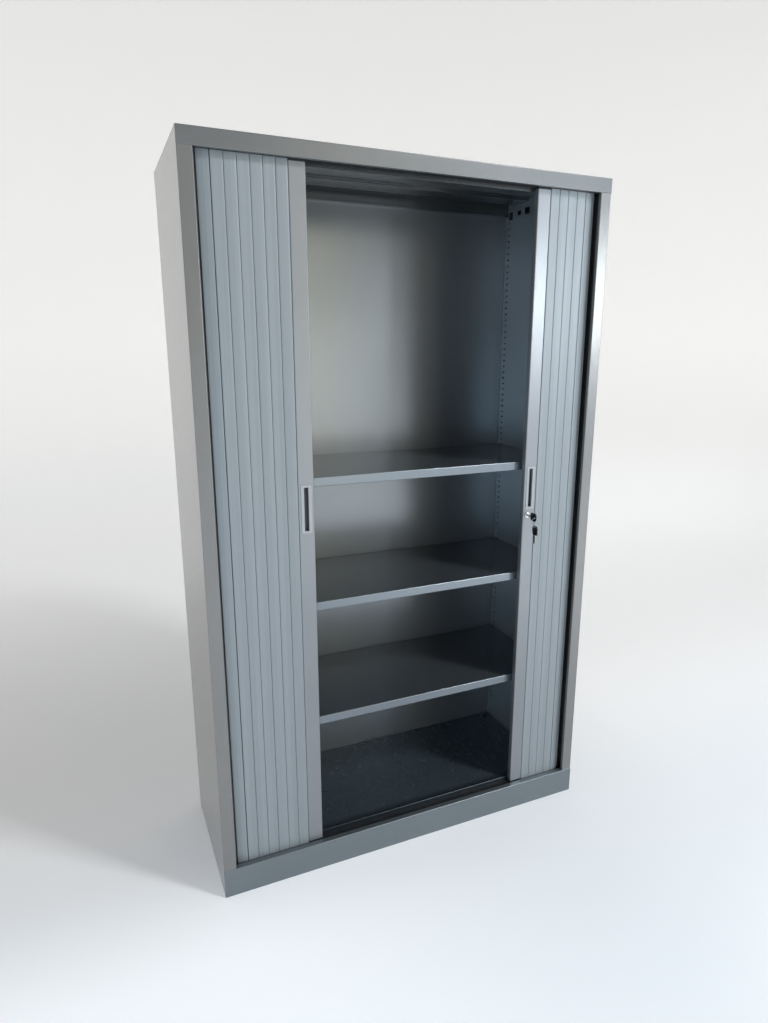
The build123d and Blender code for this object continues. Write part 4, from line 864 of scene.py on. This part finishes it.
for side in ("right", "left"):
    travel = TRAVEL[f"{side}_front_slide"]
    slats, web, start_x = emerging_curtain(travel)
    corner = corner_slats()
    filler = add_block(
        "filler",
        (start_x - FILLER_LAP, HINGE_Y - WEB_BACK - WEB_THICK, SLAT_LOW + WEB_INSET),
        (RIGHT_OUTER - SLAT_PITCH + FILLER_LAP_STILE, HINGE_Y - WEB_BACK, SLAT_HIGH - WEB_INSET),
    )
    parked = parked_curtain(PARKED[side])
    pieces = {
        f"emerging_slats_{side}": slats, f"emerging_web_{side}": web, f"corner_slats_{side}": corner,
        f"corner_web_{side}": filler, f"parked_slats_{side}": parked,
    }
    for name, piece in pieces.items():
        piece.name = name
        if side == "left":
            mirror_to_left(piece)
        finish_with(piece, web_finish if "web" in name else slat_finish)
        smooth(piece)
        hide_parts(f"pocket_slats_{side}")
    for piece in (slats, web):
        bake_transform(piece)
    for piece in (corner, filler, parked):
        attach(piece, "carcass")
    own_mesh(parked)
    print(side, "front draws out", int(travel / SLAT_PITCH), "slats")

bpy.data.objects.remove(slat)

# %% [markdown]
# ## Moulded key heads
# A key head is a thumb-sized plastic moulding. A rounded rim runs all round it, with a slightly sunk
# panel on both faces and a slot for the ring. It starts as a block. One end is tapered, the corners and
# rims are bevelled, and the big faces are inset and pressed in. A second block cuts the slot.

# %% Key head
HEAD_LOW, HEAD_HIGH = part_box("key_head")
HEAD_TAPER = 0.0084
NECK_SHARE = 14.0 / 25.0
EYE_LONG, EYE_WIDE = 0.0070, 0.0028
EYE_RIM = 0.0025
PANEL_START = 0.0080
PANEL_RIM = 0.0014
PANEL_STEP = 0.0003
PANEL_DEEP = 0.00025
END_ROUND = 0.0082
NECK_ROUND = 0.0042
RIM_EASE = 0.0007


def model_key_head():
    """The head of the key in the lock, in the plane across the cupboard."""
    piece = add_block("key_head", HEAD_LOW, HEAD_HIGH)
    centre = (HEAD_LOW + HEAD_HIGH) / 2
    half_thick = (HEAD_HIGH.x - HEAD_LOW.x) / 2
    taper_y = HEAD_HIGH.y - HEAD_TAPER
    edit(piece, "EDGE")
    bpy.ops.mesh.select_all(action="SELECT")
    bpy.ops.mesh.bisect(plane_co=(0, taper_y, 0), plane_no=(0, 1, 0))
    pick_faces(piece, lambda middle, normal: normal.y > 0.9)
    bpy.ops.transform.resize(value=(1, 1, NECK_SHARE), center_override=(centre.x, HEAD_HIGH.y, centre.z))
    bpy.ops.mesh.select_all(action="SELECT")
    bpy.ops.mesh.dissolve_limited(angle_limit=math.radians(1))
    pick_edges(piece, lambda middle, along: abs(along.x) > 0.9 and middle.y < HEAD_LOW.y + 0.001)
    bpy.ops.mesh.bevel(offset=END_ROUND, segments=9, profile=0.5)
    pick_edges(piece, lambda middle, along: abs(along.x) > 0.9 and middle.y > taper_y - 0.0005)
    bpy.ops.mesh.bevel(offset=NECK_ROUND, segments=5, profile=0.5)
    pick_edges(piece, lambda middle, along: abs(abs(middle.x - centre.x) - half_thick) < 0.00001)
    bpy.ops.mesh.bevel(offset=RIM_EASE, segments=3, profile=0.5)
    bpy.ops.mesh.select_all(action="SELECT")
    bpy.ops.mesh.bisect(plane_co=(0, HEAD_LOW.y + PANEL_START, 0), plane_no=(0, 1, 0))
    pick_faces(
        piece, lambda middle, normal: abs(normal.x) > 0.999 and middle.y > HEAD_LOW.y + PANEL_START
    )
    bpy.ops.mesh.inset(thickness=PANEL_RIM, depth=0.0)
    bpy.ops.mesh.inset(thickness=PANEL_STEP, depth=-PANEL_DEEP)
    done()
    return piece


def cut_eye(piece):
    """Cut the slot for the ring with a boolean, and clear the cutter away."""
    middle_y = HEAD_LOW.y + EYE_RIM + EYE_WIDE / 2
    centre = (HEAD_LOW + HEAD_HIGH) / 2
    cutter = add_block(
        "eye_cutter",
        (HEAD_LOW.x - 0.001, middle_y - EYE_WIDE / 2, centre.z - EYE_LONG / 2),
        (HEAD_HIGH.x + 0.001, middle_y + EYE_WIDE / 2, centre.z + EYE_LONG / 2),
    )
    edit(cutter, "EDGE")
    pick_edges(cutter, lambda middle, along: abs(along.x) > 0.9)
    bpy.ops.mesh.bevel(offset=EYE_WIDE / 3, segments=3, profile=0.5)
    done()
    cut = piece.modifiers.new("eye", "BOOLEAN")
    cut.object = cutter
    cut.operation = "DIFFERENCE"
    cut.solver = "EXACT"
    bpy.ops.object.select_all(action="DESELECT")
    bpy.context.view_layer.objects.active = piece
    piece.select_set(True)
    bpy.ops.object.modifier_apply(modifier="eye")
    bpy.data.objects.remove(cutter)


head = model_key_head()
cut_eye(head)
finish_with(head, key_plastic)
smooth(head, 40.0)
print("key head faces:", len(head.data.polygons))

# %% [markdown]
# ## The spare key's head
# The spare hangs upside down from the ring: its eye is at the top and its blade points at the floor.
# The same head is turned a quarter turn about the axis across the cupboard and moved to its place.

# %% Spare head
spare = copy_of(head, "moulded_head_spare")
spare_low, spare_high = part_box("spare_key_head")
to_origin = Matrix.Translation(-(HEAD_LOW + HEAD_HIGH) / 2)
quarter = Matrix.Rotation(-math.pi / 2, 4, "X")
spare.data.transform(Matrix.Translation((spare_low + spare_high) / 2) @ quarter @ to_origin)
head.name = "moulded_head"
for piece, node, body in ((head, "key_head", "lock_plug"), (spare, "spare_key_head", "spare_key")):
    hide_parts(node)
    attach(piece, body)
print("spare head hangs at", [round(v, 4) for v in (spare_low + spare_high) / 2])
